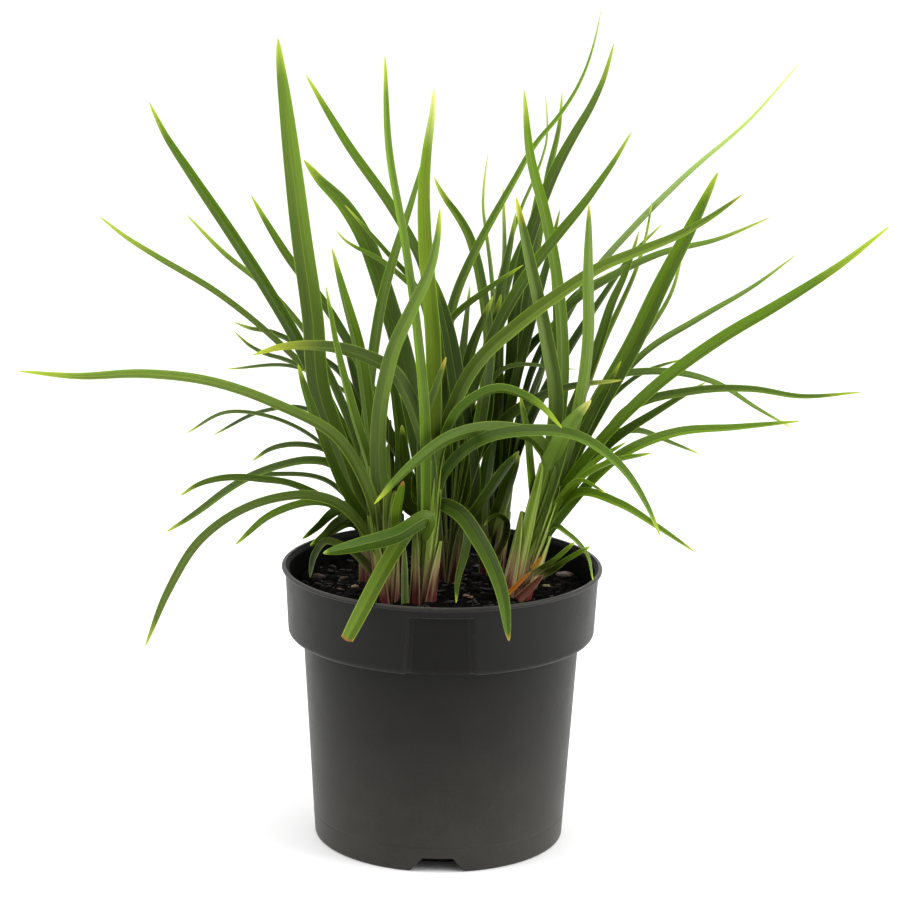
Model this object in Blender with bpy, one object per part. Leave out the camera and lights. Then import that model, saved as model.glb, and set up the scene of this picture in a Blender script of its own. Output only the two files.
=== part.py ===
"""Potted flax lily: a clump of strap leaves growing from nine leafy shoots in a plastic nursery pot.

The origin is on the pot's axis at the plane that the pot stands on. +Z is up, and the side with
the label recess faces -Y. The leaves follow routes read by eye from the photograph: each route
point is a pixel of the 900 x 900 frame, and a sight line through that pixel puts it in space.
"""

import itertools
import math

import bmesh
import bpy
import numpy as np
from mathutils import Vector
from mathutils.bvhtree import BVHTree

MM = 0.001

# Pot, in millimetres
LIP_RADIUS = 75.5
LIP_HEIGHT = 132.0
LIP_BAND = 2.6
LIP_ROUNDING = 0.9
LIP_INSET = 2.6
LIP_DROP = 0.3
COLLAR_TOP_RADIUS = 73.8
COLLAR_FOOT_RADIUS = 72.3
COLLAR_FOOT_HEIGHT = 98.7
COLLAR_ROUNDING = 3.0
BODY_TOP_RADIUS = 65.2
FOOT_RADIUS = 59.1
FOOT_ROUNDING = 1.5
WALL = 2.0
FLOOR = 3.0
SHELF_HEIGHT = COLLAR_FOOT_HEIGHT + WALL
SHELF_BEVEL = 1.5
ARC_POINTS = 4
POT_SIDES = 40
RECESS_HIGH_HALF_ANGLE = 11.3
RECESS_LOW_HALF_ANGLE = 12.7
RECESS_DEPTH = 1.2
RECESS_SLOPE = 1.4
RECESS_COLUMNS = 7
RECESS_OVERCUT = 1.0
RECESS_LOW = 96.5
RECESS_HIGH = 126.0
DRAIN_COUNT = 3
DRAIN_HEIGHT = 7.0
DRAIN_TOP_WIDTH = 14.0
DRAIN_FOOT_WIDTH = 26.0
DRAIN_REACH = 15.0
DRAIN_OVERCUT = 4.0

# Growing mix, in millimetres
SOIL_HEIGHT = 119.0
SOIL_SIDES = 24
SOIL_FLARE = 0.6
SOIL_RINGS = (0.8, 0.6, 0.3)
MOUND_HEIGHTS = (0.8, 0.5)
MOUND_REACHES = (9.0, 11.0, 6.5)
POCKET_DEPTH = 12.0
POCKET_OVERCUT = 4.0
GAP = 0.3

# The eye that the routes were read with: distances in millimetres, angles in degrees
EYE_DISTANCE = 1500.0
EYE_HEIGHT = 546.3
EYE_ACROSS = 2.9
EYE_PITCH = 13.46
EYE_ROLL = 0.87
FOCAL_PIXELS = 3300.4
FRAME_CENTRE = 450.0

# Leaf: thickness at the keel, rise of each half of the folded blade, fullest width, and how it narrows
KEEL_THICKNESS = 0.9
THIN_SHARE = 0.35
FOLD_DEGREES = 20.0
FULL_WIDTH = 7.6
FULL_OVER_SEEN = 1.08
MOST_TURNED_AWAY = 2.5
BASE_WIDTH = 0.8
BASE_REACH = 0.25
TIP_FULLNESS = 4.2
TIP_POINT = 0.58
RINGS = 7
SMALL_RINGS = 6
# Points of a shoot that lie closer than this, where its small leaves cross, become one point
WELD_REACH = 0.03
LONG_RINGS = 10
LONG_LEAF = 130.0
STATIONS = 28
SPAN_POINTS = 30

# The one leaf whose tip was cut square, and the share of a whole leaf that is left of it
CUT_LEAF = "leaf_front_centre_6"
CUT_SHARE = 0.8

# Where a leaf leaves its shoot, as a share of the shoot's height above the soil, and for one that hangs low
ROOT_SHARE = 0.5
LOW_ROOT_SHARE = 0.1

# How leaves are kept apart: shares of a leaf's length, and distances in millimetres
CLEARANCE = 1.6
EXTRA_REACH = 0.8
BASE_FREEDOM = 0.15
BASE_STATIONS = 4.0
FOLD_SPARE = 0.25
PUSH_SHARE = 0.3
PARTING_ROUNDS = 150
CLEARING_ROUNDS = 60
FIRST_START = 0.08
START_STEP = 0.02
MOST_START = 0.45
BOW_SPREAD = 0.12
BOW_STEP = 0.5
BOW_ONSET = 8.0

# Edges sharper than this stay sharp where the rest is shaded smooth
SHARP_DEGREES = 40.0

# Shoot section: sides, and its width and depth as shares of its radius
SHOOT_SIDES = 10
SHOOT_WIDE = 1.1
SHOOT_DEEP = 0.9
# Its rings above the soil: share of its height, and shares of its foot radius and top radius that add up
SHOOT_RINGS = ((0.0, 1.0, 0.0), (0.3, 0.5, 0.5), (0.65, 0.0, 1.0), (0.9, 0.0, 0.8), (1.0, 0.0, 0.35))
BURIED_SHARE = 0.8

# Each shoot: foot (x, y) on the soil, top (x, y, z), radius at foot and at top, in millimetres
SHOOTS = {
    "front_left": ((-25, -23), (-28, -22, 166), 4.6, 6.2),
    "front_centre": ((-9, -23), (-6, -22, 176), 4.6, 5.8),
    "middle": ((3, 12), (4, 12, 170), 4.4, 5.4),
    "front_right": ((34, -14), (45, -12, 162), 6.0, 7.2),
    "side_left": ((-32, 8), (-34, 9, 168), 4.4, 5.6),
    "back_right": ((24, 31), (28, 32, 170), 4.6, 5.6),
    "back_middle": ((-5, 31), (-5, 32, 172), 4.4, 5.4),
    "side_right": ((39, 5), (50, 8, 164), 4.6, 5.6),
    "back_left": ((-23, 27), (-27, 28, 168), 4.4, 5.2),
}
# Leaves, a node each: seen width in mm, depth of the tip in mm, route from tip to shoot in photo pixels
# Depth grows away from the eye, and the pot's axis is at 0.
LEAVES = {
    "front_left": [
        (4.9, -38, [(18, 371), (77, 376), (141, 373.5), (207, 380.5), (279, 405), (337, 437), (366, 483),
            (380, 525)]),
        (5.4, -30, [(332, 248), (341, 282), (360, 352), (370, 420)]),
        (3.6, -52, [(326, 286), (336, 341), (353, 408), (374, 480)]),
        (8.0, -62, [(440, 208), (437, 240), (429, 272), (416, 300), (404, 325), (393, 350), (386, 376),
            (381, 402), (378, 440), (379, 475), (383, 505)]),
        (4.2, -70, [(145, 647), (169, 589), (199, 541), (243, 509), (280, 497), (310, 495),
            (336, 502), (364, 526)]),
        (3.5, -45, [(235, 545), (272, 514), (321, 502), (358, 520)]),
    ],
    "front_centre": [
        (4.2, 35, [(385, 55), (389, 148), (405, 242), (416, 319), (424, 400)]),
        (6.2, -40, [(253, 355), (280, 347), (310, 345), (340, 348), (366, 356), (392, 370), (408, 394),
            (420, 425), (430, 470)]),
        (6.8, -5, [(434, 88), (432, 115), (427, 150), (424, 190), (425, 240), (429, 290), (433, 340),
            (434, 383), (433, 440)]),
        (5.6, 5, [(743, 194), (712, 216), (678, 235), (636, 252), (600, 267), (570, 286), (521, 322),
            (476, 364), (446, 425)]),
        (4.6, -85, [(661, 538), (648, 507), (620, 465), (576, 435), (529, 430), (480, 440),
            (446, 470)]),
        (7.0, -92, [(347, 639), (363, 608), (384, 568), (403, 538), (418, 522)]),
        (7.4, -66, [(323, 553), (358, 545), (396, 535), (430, 520)]),
        (7.0, -98, [(509, 641), (501, 589), (479, 540), (455, 510), (438, 504)]),
        (4.6, -55, [(562, 428), (538, 403), (500, 388), (462, 406), (440, 450)]),
    ],
    "middle": [
        (5.5, 60, [(434, 177), (442, 193), (456, 213), (467, 231), (474, 250), (480, 275), (485, 305),
            (489, 344), (482, 410)]),
        (4.0, 70, [(601, 10), (596, 35), (586, 68), (573, 95), (553, 123), (533, 147), (521, 168),
            (504, 198), (487, 228), (473, 255), (461, 281), (453, 304), (447, 340), (448, 430)]),
        (4.8, 35, [(632, 131), (614, 161), (598, 184), (580, 208), (560, 232), (536, 262), (508, 306),
            (481, 365), (462, 430)]),
        (8.4, 10, [(434, 277), (447, 325), (459, 395), (466, 435), (471, 470), (470, 500)]),
    ],
    "front_right": [
        (5.6, -45, [(589, 204), (588, 271), (588, 338), (577, 414), (560, 470)]),
        (6.8, -5, [(516, 197), (531, 265), (546, 335), (556, 399), (550, 460)]),
        (5.0, -32, [(890, 226), (844, 262), (782, 302), (718, 340), (653, 388), (610, 430),
            (572, 476)]),
        (4.0, -60, [(801, 421), (735, 427), (676, 432), (620, 455), (588, 484), (564, 512)]),
        (3.3, -70, [(695, 552), (657, 526), (617, 502), (580, 492), (560, 505)]),
        (6.0, -62, [(374, 504), (409, 467), (452, 436), (495, 428), (532, 436), (552, 462)]),
        (8.0, -25, [(591, 400), (569, 425), (547, 470)]),
    ],
    "side_left": [
        (6.6, 10, [(149, 102), (166, 136), (187, 168), (233, 236), (269, 292), (297, 340), (330, 410),
            (356, 470)]),
        (9.8, -25, [(278, 38), (280, 60), (285, 100), (293, 167), (301, 233), (313, 320), (319, 387),
            (343, 455)]),
        (4.4, 50, [(426, 150), (412, 200), (394, 256), (382, 300), (375, 340), (370, 380), (366, 420)]),
        (3.9, 20, [(166, 532), (187, 519), (204, 507), (221, 494), (241, 481), (262, 471), (284, 464),
            (306, 460), (330, 463), (356, 500)]),
        (3.4, -15, [(180, 496), (197, 485), (216, 479), (240, 477), (262, 479), (286, 482), (306, 489),
            (326, 500), (350, 520)]),
    ],
    "back_right": [
        (5.4, 75, [(614, 43), (603, 80), (592, 104), (572, 138), (556, 168), (541, 204), (527, 246),
            (516, 300), (510, 380)]),
        (1.9, 135, [(801, 61), (751, 118), (687, 174), (629, 232), (591, 276), (555, 340), (522, 420)]),
        (3.2, 85, [(771, 217), (718, 239), (661, 253), (610, 277), (569, 306), (536, 360), (516, 430)]),
        (5.2, 60, [(516, 212), (511, 240), (506, 265), (500, 295), (498, 340), (497, 400)]),
    ],
    "back_middle": [
        (4.8, 85, [(251, 195), (267, 223), (287, 255), (328, 309), (364, 372), (388, 430)]),
        (5.2, 105, [(306, 75), (347, 143), (395, 212), (421, 260), (436, 330), (440, 410)]),
        (9.8, 95, [(304, 160), (320, 180), (341, 201), (356, 222), (368, 245), (378, 272), (390, 310),
            (402, 350), (415, 420)]),
    ],
    "side_right": [
        (5.8, 50, [(524, 90), (531, 159), (546, 217), (561, 312), (563, 376), (556, 440)]),
        (8.6, 35, [(718, 172), (692, 225), (661, 285), (632, 346), (606, 392), (574, 450)]),
        (2.6, 100, [(797, 254), (755, 285), (699, 318), (644, 353), (604, 400), (574, 450)]),
        (3.5, 15, [(863, 392), (799, 396), (754, 389), (690, 391), (630, 408), (594, 453)]),
        (2.8, 75, [(794, 429), (757, 408), (719, 384), (655, 371), (610, 379), (580, 430)]),
        (4.2, 25, [(706, 382), (657, 411), (608, 444), (577, 480)]),
    ],
    "back_left": [
        (3.3, 60, [(99, 216), (126, 237), (153, 254), (218, 293), (275, 339), (324, 390), (352, 450)]),
        (2.8, 90, [(186, 214), (224, 253), (268, 289), (309, 337), (330, 373), (346, 408), (362, 445)]),
        (3.1, 50, [(252, 461), (270, 449), (296, 444), (330, 452), (360, 490)]),
        (1.8, 95, [(185, 434), (227, 412), (265, 415), (316, 439), (354, 485)]),
        (3.3, 85, [(234, 322), (250, 328), (268, 331), (284, 337), (304, 348), (340, 372), (368, 440)]),
    ],
}

# Small and hidden leaves, written the same way, which stay one solid with their shoot
SMALL_LEAVES = {
    "front_left": [
        (4.4, -40, [(403, 481), (396, 510), (392, 535)]),
        (5.0, -5, [(298, 364), (302, 378), (310, 403), (323, 436), (333, 462), (343, 485),
            (358, 510)]),
        (3.6, -44, [(310, 577), (314, 556), (324, 542), (343, 546), (358, 556)]),
    ],
    "front_centre": [
        (4.2, -30, [(446, 357), (437, 384), (424, 420), (421, 465)]),
    ],
    "middle": [
        (1.8, 100, [(488, 153), (484, 182), (483, 208), (486, 232), (490, 262), (493, 300), (490, 350),
            (476, 420)]),
        (1.4, 134, [(545, 94), (547, 118), (546, 142), (539, 166), (522, 206), (506, 256), (486, 340),
            (470, 420)]),
        (3.8, 75, [(470, 285), (462, 359), (456, 430)]),
        (4.3, 0, [(622, 380), (564, 388), (522, 406), (487, 440)]),
        (1.8, 45, [(577, 369), (500, 371), (472, 420)]),
        (3.3, -40, [(456, 603), (458, 578), (464, 556), (468, 530), (462, 505)]),
        (5.8, 26, [(493, 296), (481, 324), (471, 350), (465, 380), (464, 410), (463, 450)]),
        (6.4, 40, [(501, 294), (493, 330), (488, 370), (486, 410), (474, 455)]),
        (4.6, 4, [(519, 451), (503, 470), (484, 497), (468, 517)]),
    ],
    "front_right": [
        (2.4, -25, [(626, 442), (594, 462), (566, 492)]),
        (2.9, -42, [(651, 453), (609, 462), (582, 477), (562, 500)]),
        (1.5, -62, [(606, 493), (580, 480), (560, 496)]),
        (1.6, -55, [(593, 580), (588, 556), (567, 533), (553, 526)]),
        (2.3, -50, [(574, 542), (554, 561), (545, 568)]),
        (2.6, -45, [(590, 546), (565, 561), (550, 572)]),
        (4.0, -4, [(520, 395), (524, 415), (528, 436), (530, 458), (532, 480), (536, 510)]),
        (4.0, 10, [(533, 446), (541, 454), (547, 472)]),
    ],
    "side_left": [
        (4.2, -22, [(302, 539), (318, 526), (332, 513), (345, 506), (357, 510)]),
        (4.2, -32, [(310, 545), (324, 535), (337, 523), (348, 517), (358, 522)]),
        (2.4, -8, [(329, 535), (350, 524), (362, 528)]),
        (4.6, 30, [(318, 350), (331, 378), (343, 405), (354, 432), (364, 462)]),
    ],
    "back_right": [
        (2.4, 95, [(503, 184), (504, 261), (497, 322), (496, 400)]),
        (4.4, 105, [(562, 92), (560, 120), (556, 142), (550, 166), (545, 195), (538, 235), (530, 285),
            (522, 330), (508, 400)]),
        (2.2, 110, [(662, 224), (636, 250), (600, 300), (556, 370), (526, 430)]),
        (2.6, 90, [(612, 271), (572, 297), (550, 338), (541, 372), (533, 396), (516, 440)]),
        (4.2, 90, [(560, 209), (555, 230), (549, 256), (541, 285), (530, 325), (514, 390)]),
        (6.0, 48, [(562, 316), (539, 337), (519, 360), (505, 388), (502, 430)]),
        (6.6, 14, [(519, 455), (509, 480), (502, 503), (495, 525)]),
        (6.6, 26, [(496, 425), (489, 455), (485, 480), (483, 505), (485, 530)]),
        (2.6, 20, [(484, 526), (490, 518), (498, 515), (506, 520), (507, 532)]),
        (4.0, 120, [(540, 172), (536, 198), (530, 226), (519, 250), (510, 274), (503, 300), (499, 335),
            (497, 380)]),
    ],
    "back_middle": [
        (2.4, 70, [(345, 205), (384, 249), (416, 287), (432, 350), (436, 430)]),
        (2.6, 62, [(336, 230), (346, 241), (364, 251), (384, 262), (402, 277), (416, 290), (436, 360),
            (438, 430)]),
        (1.9, 105, [(226, 369), (296, 367), (350, 395), (395, 450)]),
        (3.2, 15, [(523, 265), (486, 290), (450, 321), (434, 380), (430, 440)]),
        (6.0, 12, [(402, 425), (406, 465), (411, 508)]),
        (5.0, 60, [(345, 345), (354, 372), (362, 402), (371, 440), (390, 475)]),
    ],
    "side_right": [
        (2.3, 110, [(686, 236), (671, 293), (639, 344), (605, 395), (572, 455)]),
        (2.6, 90, [(652, 200), (649, 220), (644, 244), (635, 272), (621, 304), (605, 338), (588, 382),
            (566, 440)]),
        (2.8, 55, [(700, 454), (673, 443), (635, 430), (602, 438), (580, 470)]),
        (4.3, 10, [(621, 361), (606, 389), (584, 430)]),
        (5.0, 60, [(551, 262), (556, 300), (558, 345), (557, 400), (552, 450)]),
        (4.4, 65, [(639, 231), (632, 254), (624, 276), (612, 302), (601, 336), (590, 368), (574, 404),
            (554, 450)]),
        (2.6, 45, [(686, 358), (644, 372), (600, 408), (566, 450)]),
    ],
    "back_left": [
        (2.4, 60, [(227, 480), (273, 474), (326, 480), (358, 505)]),
        (2.2, 90, [(213, 435), (263, 411), (304, 408), (345, 440), (370, 490)]),
        (2.4, 100, [(234, 331), (248, 344), (264, 353), (284, 359), (310, 372), (330, 400), (366, 470)]),
        (6.0, 20, [(390, 366), (397, 405), (402, 445), (399, 485)]),
    ],
}


def eye_axes():
    """The eye's forward, right and up directions, from its pitch and roll."""
    pitch = math.radians(EYE_PITCH)
    roll = math.radians(EYE_ROLL)
    forward = np.array([0.0, math.cos(pitch), -math.sin(pitch)])
    level = np.array([1.0, 0.0, 0.0])
    upright = np.array([0.0, math.sin(pitch), math.cos(pitch)])
    right = math.cos(roll) * level + math.sin(roll) * upright
    up = math.cos(roll) * upright - math.sin(roll) * level
    return forward, right, up


EYE = np.array([EYE_ACROSS, -EYE_DISTANCE, EYE_HEIGHT])
FORWARD, RIGHT, UP = eye_axes()


def sight_points(pixels, depths):
    """The points on the sight lines through the pixels, where y is each given depth."""
    pixels = np.asarray(pixels, float)
    across = (pixels[:, :1] - FRAME_CENTRE) / FOCAL_PIXELS
    raised = (FRAME_CENTRE - pixels[:, 1:]) / FOCAL_PIXELS
    lines = FORWARD + across * RIGHT + raised * UP
    reach = (np.asarray(depths) - EYE[1]) / lines[:, 1]
    return EYE + reach[:, None] * lines


def pixels_of(points):
    """The photo pixel of each point: the inverse of sight_points."""
    lines = points - EYE
    ahead = lines @ FORWARD
    return np.stack([FRAME_CENTRE + FOCAL_PIXELS * (lines @ RIGHT) / ahead,
                     FRAME_CENTRE - FOCAL_PIXELS * (lines @ UP) / ahead], axis=-1)


def chord_lengths(points):
    """The running length from the first point to each point."""
    steps = np.linalg.norm(np.diff(points, axis=0), axis=1)
    return np.concatenate([[0.0], np.cumsum(steps)])


def curve_through(points, count):
    """Evenly spaced points on a cubic whose slope at a point is the mean of its two chords' slopes."""
    points = np.asarray(points, float)
    knots = chord_lengths(points)
    step = np.diff(knots)[:, None]
    slope = np.diff(points, axis=0) / step
    inner = (slope[:-1] * step[1:] + slope[1:] * step[:-1]) / (step[1:] + step[:-1])
    tangent = np.vstack([slope[:1], inner, slope[-1:]])
    at = np.linspace(0.0, knots[-1], SPAN_POINTS * len(points))
    span = np.clip(np.searchsorted(knots, at, side="right") - 1, 0, len(points) - 2)
    wide = step[span]
    t = (at - knots[span])[:, None] / wide
    dense = ((2 * t**3 - 3 * t**2 + 1) * points[span] + (t**3 - 2 * t**2 + t) * wide * tangent[span]
             + (3 * t**2 - 2 * t**3) * points[span + 1] + (t**3 - t**2) * wide * tangent[span + 1])
    return part_of_path(dense, 0.0, count)


def part_of_path(path, start, count):
    """Evenly spaced points on a path, from a share of its length to its end."""
    run = chord_lengths(path)
    at = np.linspace(start * run[-1], run[-1], count)
    return np.stack([np.interp(at, run, path[:, k]) for k in range(3)], axis=1)


def leaf_path(shoot, tip_depth, route):
    """A leaf's middle line, from inside its shoot to its tip.

    Depth runs evenly along the route, from the shoot's top at its inner end to tip_depth. A leaf whose
    route starts under the usual root is rooted lower.
    """
    foot, top, _, _ = SHOOTS[shoot]
    foot, top = np.array([*foot, SOIL_HEIGHT]), np.array(top)
    run = chord_lengths(np.asarray(route[::-1], float))
    depths = top[1] + (tip_depth - top[1]) * run / run[-1]
    seen = sight_points(route[::-1], depths)
    root = foot + ROOT_SHARE * (top - foot)
    if seen[0, 2] < root[2]:
        root = foot + LOW_ROOT_SHARE * (top - foot)
    return curve_through(np.vstack([root, seen]), STATIONS)


def taper(share):
    """A blade's width at a share of its length, as a share of its fullest width."""
    base = BASE_WIDTH + (1.0 - BASE_WIDTH) * np.minimum(1.0, share / BASE_REACH)
    return base * (1.0 - share**TIP_FULLNESS) ** TIP_POINT


class Leaf:
    """A leaf's path and widths. Its start is the share of the path where its blade begins."""

    def __init__(self, name, shoot, seen_width, tip_depth, route, small):
        self.name = name
        self.shoot = shoot
        self.small = small
        self.seen_width = seen_width
        self.full_width = max(FULL_OVER_SEEN * seen_width, min(FULL_WIDTH, seen_width + MOST_TURNED_AWAY))
        self.path = leaf_path(shoot, tip_depth, route)
        self.cut = name == CUT_LEAF
        self.start = 0.0

    def turn(self):
        """How far the blade turns from facing the eye, so that it shows its seen width."""
        shown = self.seen_width / (self.full_width * math.cos(math.radians(FOLD_DEGREES)))
        return math.acos(min(1.0, shown))

    def rings(self):
        """How many cross sections the solid blade has."""
        if self.small:
            return SMALL_RINGS
        return LONG_RINGS if chord_lengths(self.path)[-1] > LONG_LEAF else RINGS

    def width_at(self, share):
        return self.full_width * (taper(CUT_SHARE * share) if self.cut else taper(share))


def blade_axes(leaf, points):
    """Across and out-of-face directions at each point: turned from the eye, upper face up and inwards."""
    along = np.gradient(points, axis=0)
    along /= np.linalg.norm(along, axis=1)[:, None]
    sight = points - EYE
    flat = np.cross(along, sight)
    flat /= np.linalg.norm(flat, axis=1)[:, None]
    towards = np.cross(flat, along)
    outward = leaf.path[-1] - leaf.path[0]
    outward[2] = 0.0
    outward /= np.linalg.norm(outward) + 1e-9
    upper = along @ outward
    upper = upper[:, None] * np.array([0.0, 0.0, 1.0]) - along[:, 2:] * outward
    turns = [leaf.turn(), -leaf.turn(), math.pi - leaf.turn(), math.pi + leaf.turn()]
    faces = [math.cos(a) * towards - math.sin(a) * flat for a in turns]
    best = int(np.argmax([np.sum(face * upper) for face in faces]))
    across = math.cos(turns[best]) * flat + math.sin(turns[best]) * towards
    return across, faces[best]


def blade(leaf):
    """A closed blade: rings of left edge, keel, right edge and groove, closed by a tip point or a cut end."""
    rings = leaf.rings()
    points = part_of_path(leaf.path, leaf.start, rings)
    across, face = blade_axes(leaf, points)
    share = np.linspace(leaf.start, 1.0, rings)
    half = 0.5 * leaf.width_at(share)[:, None]
    fold = math.radians(FOLD_DEGREES)
    thick = 0.5 * KEEL_THICKNESS * (THIN_SHARE + (1.0 - THIN_SHARE) * half / half.max())
    side = half * math.cos(fold) * across
    keel = points - half * math.sin(fold) * face
    ring = np.stack([points - side, keel - thick * face, points + side, keel + thick * face], axis=1)
    kept = rings if leaf.cut else rings - 1
    verts = ring[:kept].reshape(-1, 3)
    faces = [[4 * r + k, 4 * r + (k + 1) % 4, 4 * r + 4 + (k + 1) % 4, 4 * r + 4 + k]
             for r in range(kept - 1) for k in range(4)]
    faces.append([3, 2, 1, 0])
    last = 4 * (kept - 1)
    if leaf.cut:
        faces.append([last, last + 1, last + 2, last + 3])
    else:
        verts = np.vstack([verts, points[-1]])
        faces += [[last + k, last + (k + 1) % 4, last + 4] for k in range(4)]
    return verts, faces


def part_leaves(leaves):
    """Move leaves along their sight lines until those that cross in the picture clear each other."""
    count = len(leaves)
    share = np.linspace(0.0, 1.0, STATIONS)
    paths = np.array([leaf.path for leaf in leaves])
    shot = pixels_of(paths)
    scale = np.linalg.norm(paths - EYE, axis=2) / FOCAL_PIXELS
    seen = np.array([leaf.seen_width * taper(share) for leaf in leaves])
    deep = np.array([leaf.full_width * (math.sin(leaf.turn()) + FOLD_SPARE) * taper(share)
                     for leaf in leaves])
    flat = shot.reshape(-1, 2)
    apart = np.linalg.norm(flat[:, None] - flat[None], axis=2) * scale.mean()
    reach = 0.5 * (seen.reshape(-1)[:, None] + seen.reshape(-1)[None]) + EXTRA_REACH
    owner = np.arange(count * STATIONS) // STATIONS
    first, second = np.nonzero((apart < reach) & (owner[:, None] < owner[None]))
    need = CLEARANCE + 0.5 * (deep.reshape(-1)[first] + deep.reshape(-1)[second])
    depth = paths[:, :, 1].reshape(-1)
    pair = owner[first] * count + owner[second]
    lean = np.bincount(pair, depth[first] - depth[second], minlength=count * count)
    order = np.where(lean[pair] >= 0.0, 1.0, -1.0)
    hold = np.clip((np.arange(STATIONS) - 1) / BASE_STATIONS, BASE_FREEDOM, 1.0)
    moved = np.zeros((count, STATIONS))
    for _ in range(PARTING_ROUNDS):
        now = depth + moved.reshape(-1)
        short = np.maximum(0.0, need - order * (now[first] - now[second]))
        push = np.zeros(count * STATIONS)
        np.maximum.at(push, first, np.where(order > 0, short, 0.0))
        np.maximum.at(push, second, np.where(order < 0, short, 0.0))
        pull = np.zeros(count * STATIONS)
        np.maximum.at(pull, first, np.where(order < 0, short, 0.0))
        np.maximum.at(pull, second, np.where(order > 0, short, 0.0))
        moved += PUSH_SHARE * (push - pull).reshape(count, STATIONS) * hold
        for _ in range(2):
            side = np.pad(moved, ((0, 0), (1, 1)), mode="edge")
            moved = 0.25 * side[:, :-2] + 0.5 * moved + 0.25 * side[:, 2:]
            moved[:, 0] = 0.0
    for leaf, shift, path in zip(leaves, moved, paths):
        leaf.path = sight_points(pixels_of(path), path[:, 1] + shift)


def loft(rings, sides, half_widths, centres):
    """The closed solid of horizontal elliptical rings, as (verts, faces)."""
    angle = np.arange(sides) * 2 * math.pi / sides
    ellipse = np.stack([np.cos(angle), np.sin(angle), np.zeros(sides)], axis=1)
    verts = (centres[:, None] + half_widths[:, None] * ellipse[None]).reshape(-1, 3)
    faces = [[sides * r + k, sides * r + (k + 1) % sides,
              sides * (r + 1) + (k + 1) % sides, sides * (r + 1) + k]
             for r in range(rings - 1) for k in range(sides)]
    faces.append(list(range(sides))[::-1])
    faces.append([sides * (rings - 1) + k for k in range(sides)])
    return verts, faces


def shoot_solid(name):
    """The bundle of leaf sheaths: swelling above the soil, narrowing where the leaves part."""
    foot, top, foot_radius, top_radius = SHOOTS[name]
    low = np.array([*foot, SOIL_HEIGHT])
    lean = np.array(top) - low
    rings = ((-(POCKET_DEPTH - GAP) / lean[2], BURIED_SHARE, 0.0), *SHOOT_RINGS)
    share = np.array([height for height, _, _ in rings])
    radius = np.array([of_foot * foot_radius + of_top * top_radius for _, of_foot, of_top in rings])
    centres = low + share[:, None] * lean
    half = radius[:, None] * np.array([SHOOT_WIDE, SHOOT_DEEP, 0.0])
    return loft(len(share), SHOOT_SIDES, half, centres)


def tree_of(solid):
    verts, faces = solid
    return BVHTree.FromPolygons([Vector(v) for v in verts], faces)


def share_at(leaf, faces):
    """The share of the leaf's path that the farthest of these faces of its blade is at."""
    rings = leaf.rings()
    sides = 4 * (rings - 1 if leaf.cut else rings - 2)
    segments = [face // 4 if face < sides else (0 if face == sides else rings - 2) for face in faces]
    return leaf.start + (1.0 - leaf.start) * (max(segments) + 0.5) / (rings - 1)


def bow(leaf, at, amount):
    """Bow a leaf along its sight lines, most at a share of its length."""
    share = np.linspace(0.0, 1.0, STATIONS)
    bulge = np.exp(-(((share - at) / BOW_SPREAD) ** 2)) * np.minimum(1.0, BOW_ONSET * share)
    leaf.path = sight_points(pixels_of(leaf.path), leaf.path[:, 1] + amount * bulge)


def ease_apart(leaf, other, at_leaf, at_other):
    """Bow two blades that touch away from each other."""
    here = np.interp(at_leaf, np.linspace(0.0, 1.0, STATIONS), leaf.path[:, 1])
    there = np.interp(at_other, np.linspace(0.0, 1.0, STATIONS), other.path[:, 1])
    side = 1.0 if here >= there else -1.0
    bow(leaf, at_leaf, side * BOW_STEP)
    bow(other, at_other, -side * BOW_STEP)


def clear_starts(leaves):
    """Start each separate blade just outside its shoot and its neighbours, and part the blades that touch."""
    shoots = [tree_of(shoot_solid(name)) for name in SHOOTS]
    for leaf in leaves:
        leaf.start = 0.0 if leaf.small else FIRST_START
    for _ in range(CLEARING_ROUNDS):
        trees = [tree_of(blade(leaf)) for leaf in leaves]
        late = {i for i, leaf in enumerate(leaves)
                if not leaf.small and any(trees[i].overlap(shoot) for shoot in shoots)}
        touching = []
        for i, j in itertools.combinations(range(len(leaves)), 2):
            pair = (leaves[i], leaves[j])
            met = trees[i].overlap(trees[j])
            if not met or (pair[0].small and pair[1].small and pair[0].shoot == pair[1].shoot):
                continue
            at = [share_at(leaves[k], [faces[n] for faces in met]) for n, k in enumerate((i, j))]
            movable = [(at[n], k) for n, k in enumerate((i, j)) if not leaves[k].small and at[n] < MOST_START]
            if movable:
                late.add(min(movable)[1])
            else:
                touching.append((*pair, *at))
        if not late and not touching:
            break
        for k in late:
            leaves[k].start += START_STEP
        for crossing in touching:
            ease_apart(*crossing)
    return late, touching


def grown_leaves():
    """Every leaf with its path settled."""
    leaves = []
    for shoot in SHOOTS:
        for small, table in ((False, LEAVES), (True, SMALL_LEAVES)):
            for number, (width, tip_depth, route) in enumerate(table.get(shoot, []), 1):
                name = f"{'sprig' if small else 'leaf'}_{shoot}_{number}"
                leaves.append(Leaf(name, shoot, width, tip_depth, route, small))
    part_leaves(leaves)
    return leaves


def clear_scene():
    for old in list(bpy.data.objects):
        bpy.data.objects.remove(old, do_unlink=True)


def finish(name, colour, roughness):
    """A plain material for one piece."""
    material = bpy.data.materials.new(name)
    material.use_nodes = True
    shader = material.node_tree.nodes["Principled BSDF"]
    shader.inputs["Base Color"].default_value = (*colour, 1.0)
    shader.inputs["Roughness"].default_value = roughness
    shader.inputs["Metallic"].default_value = 0.0
    return material


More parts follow.
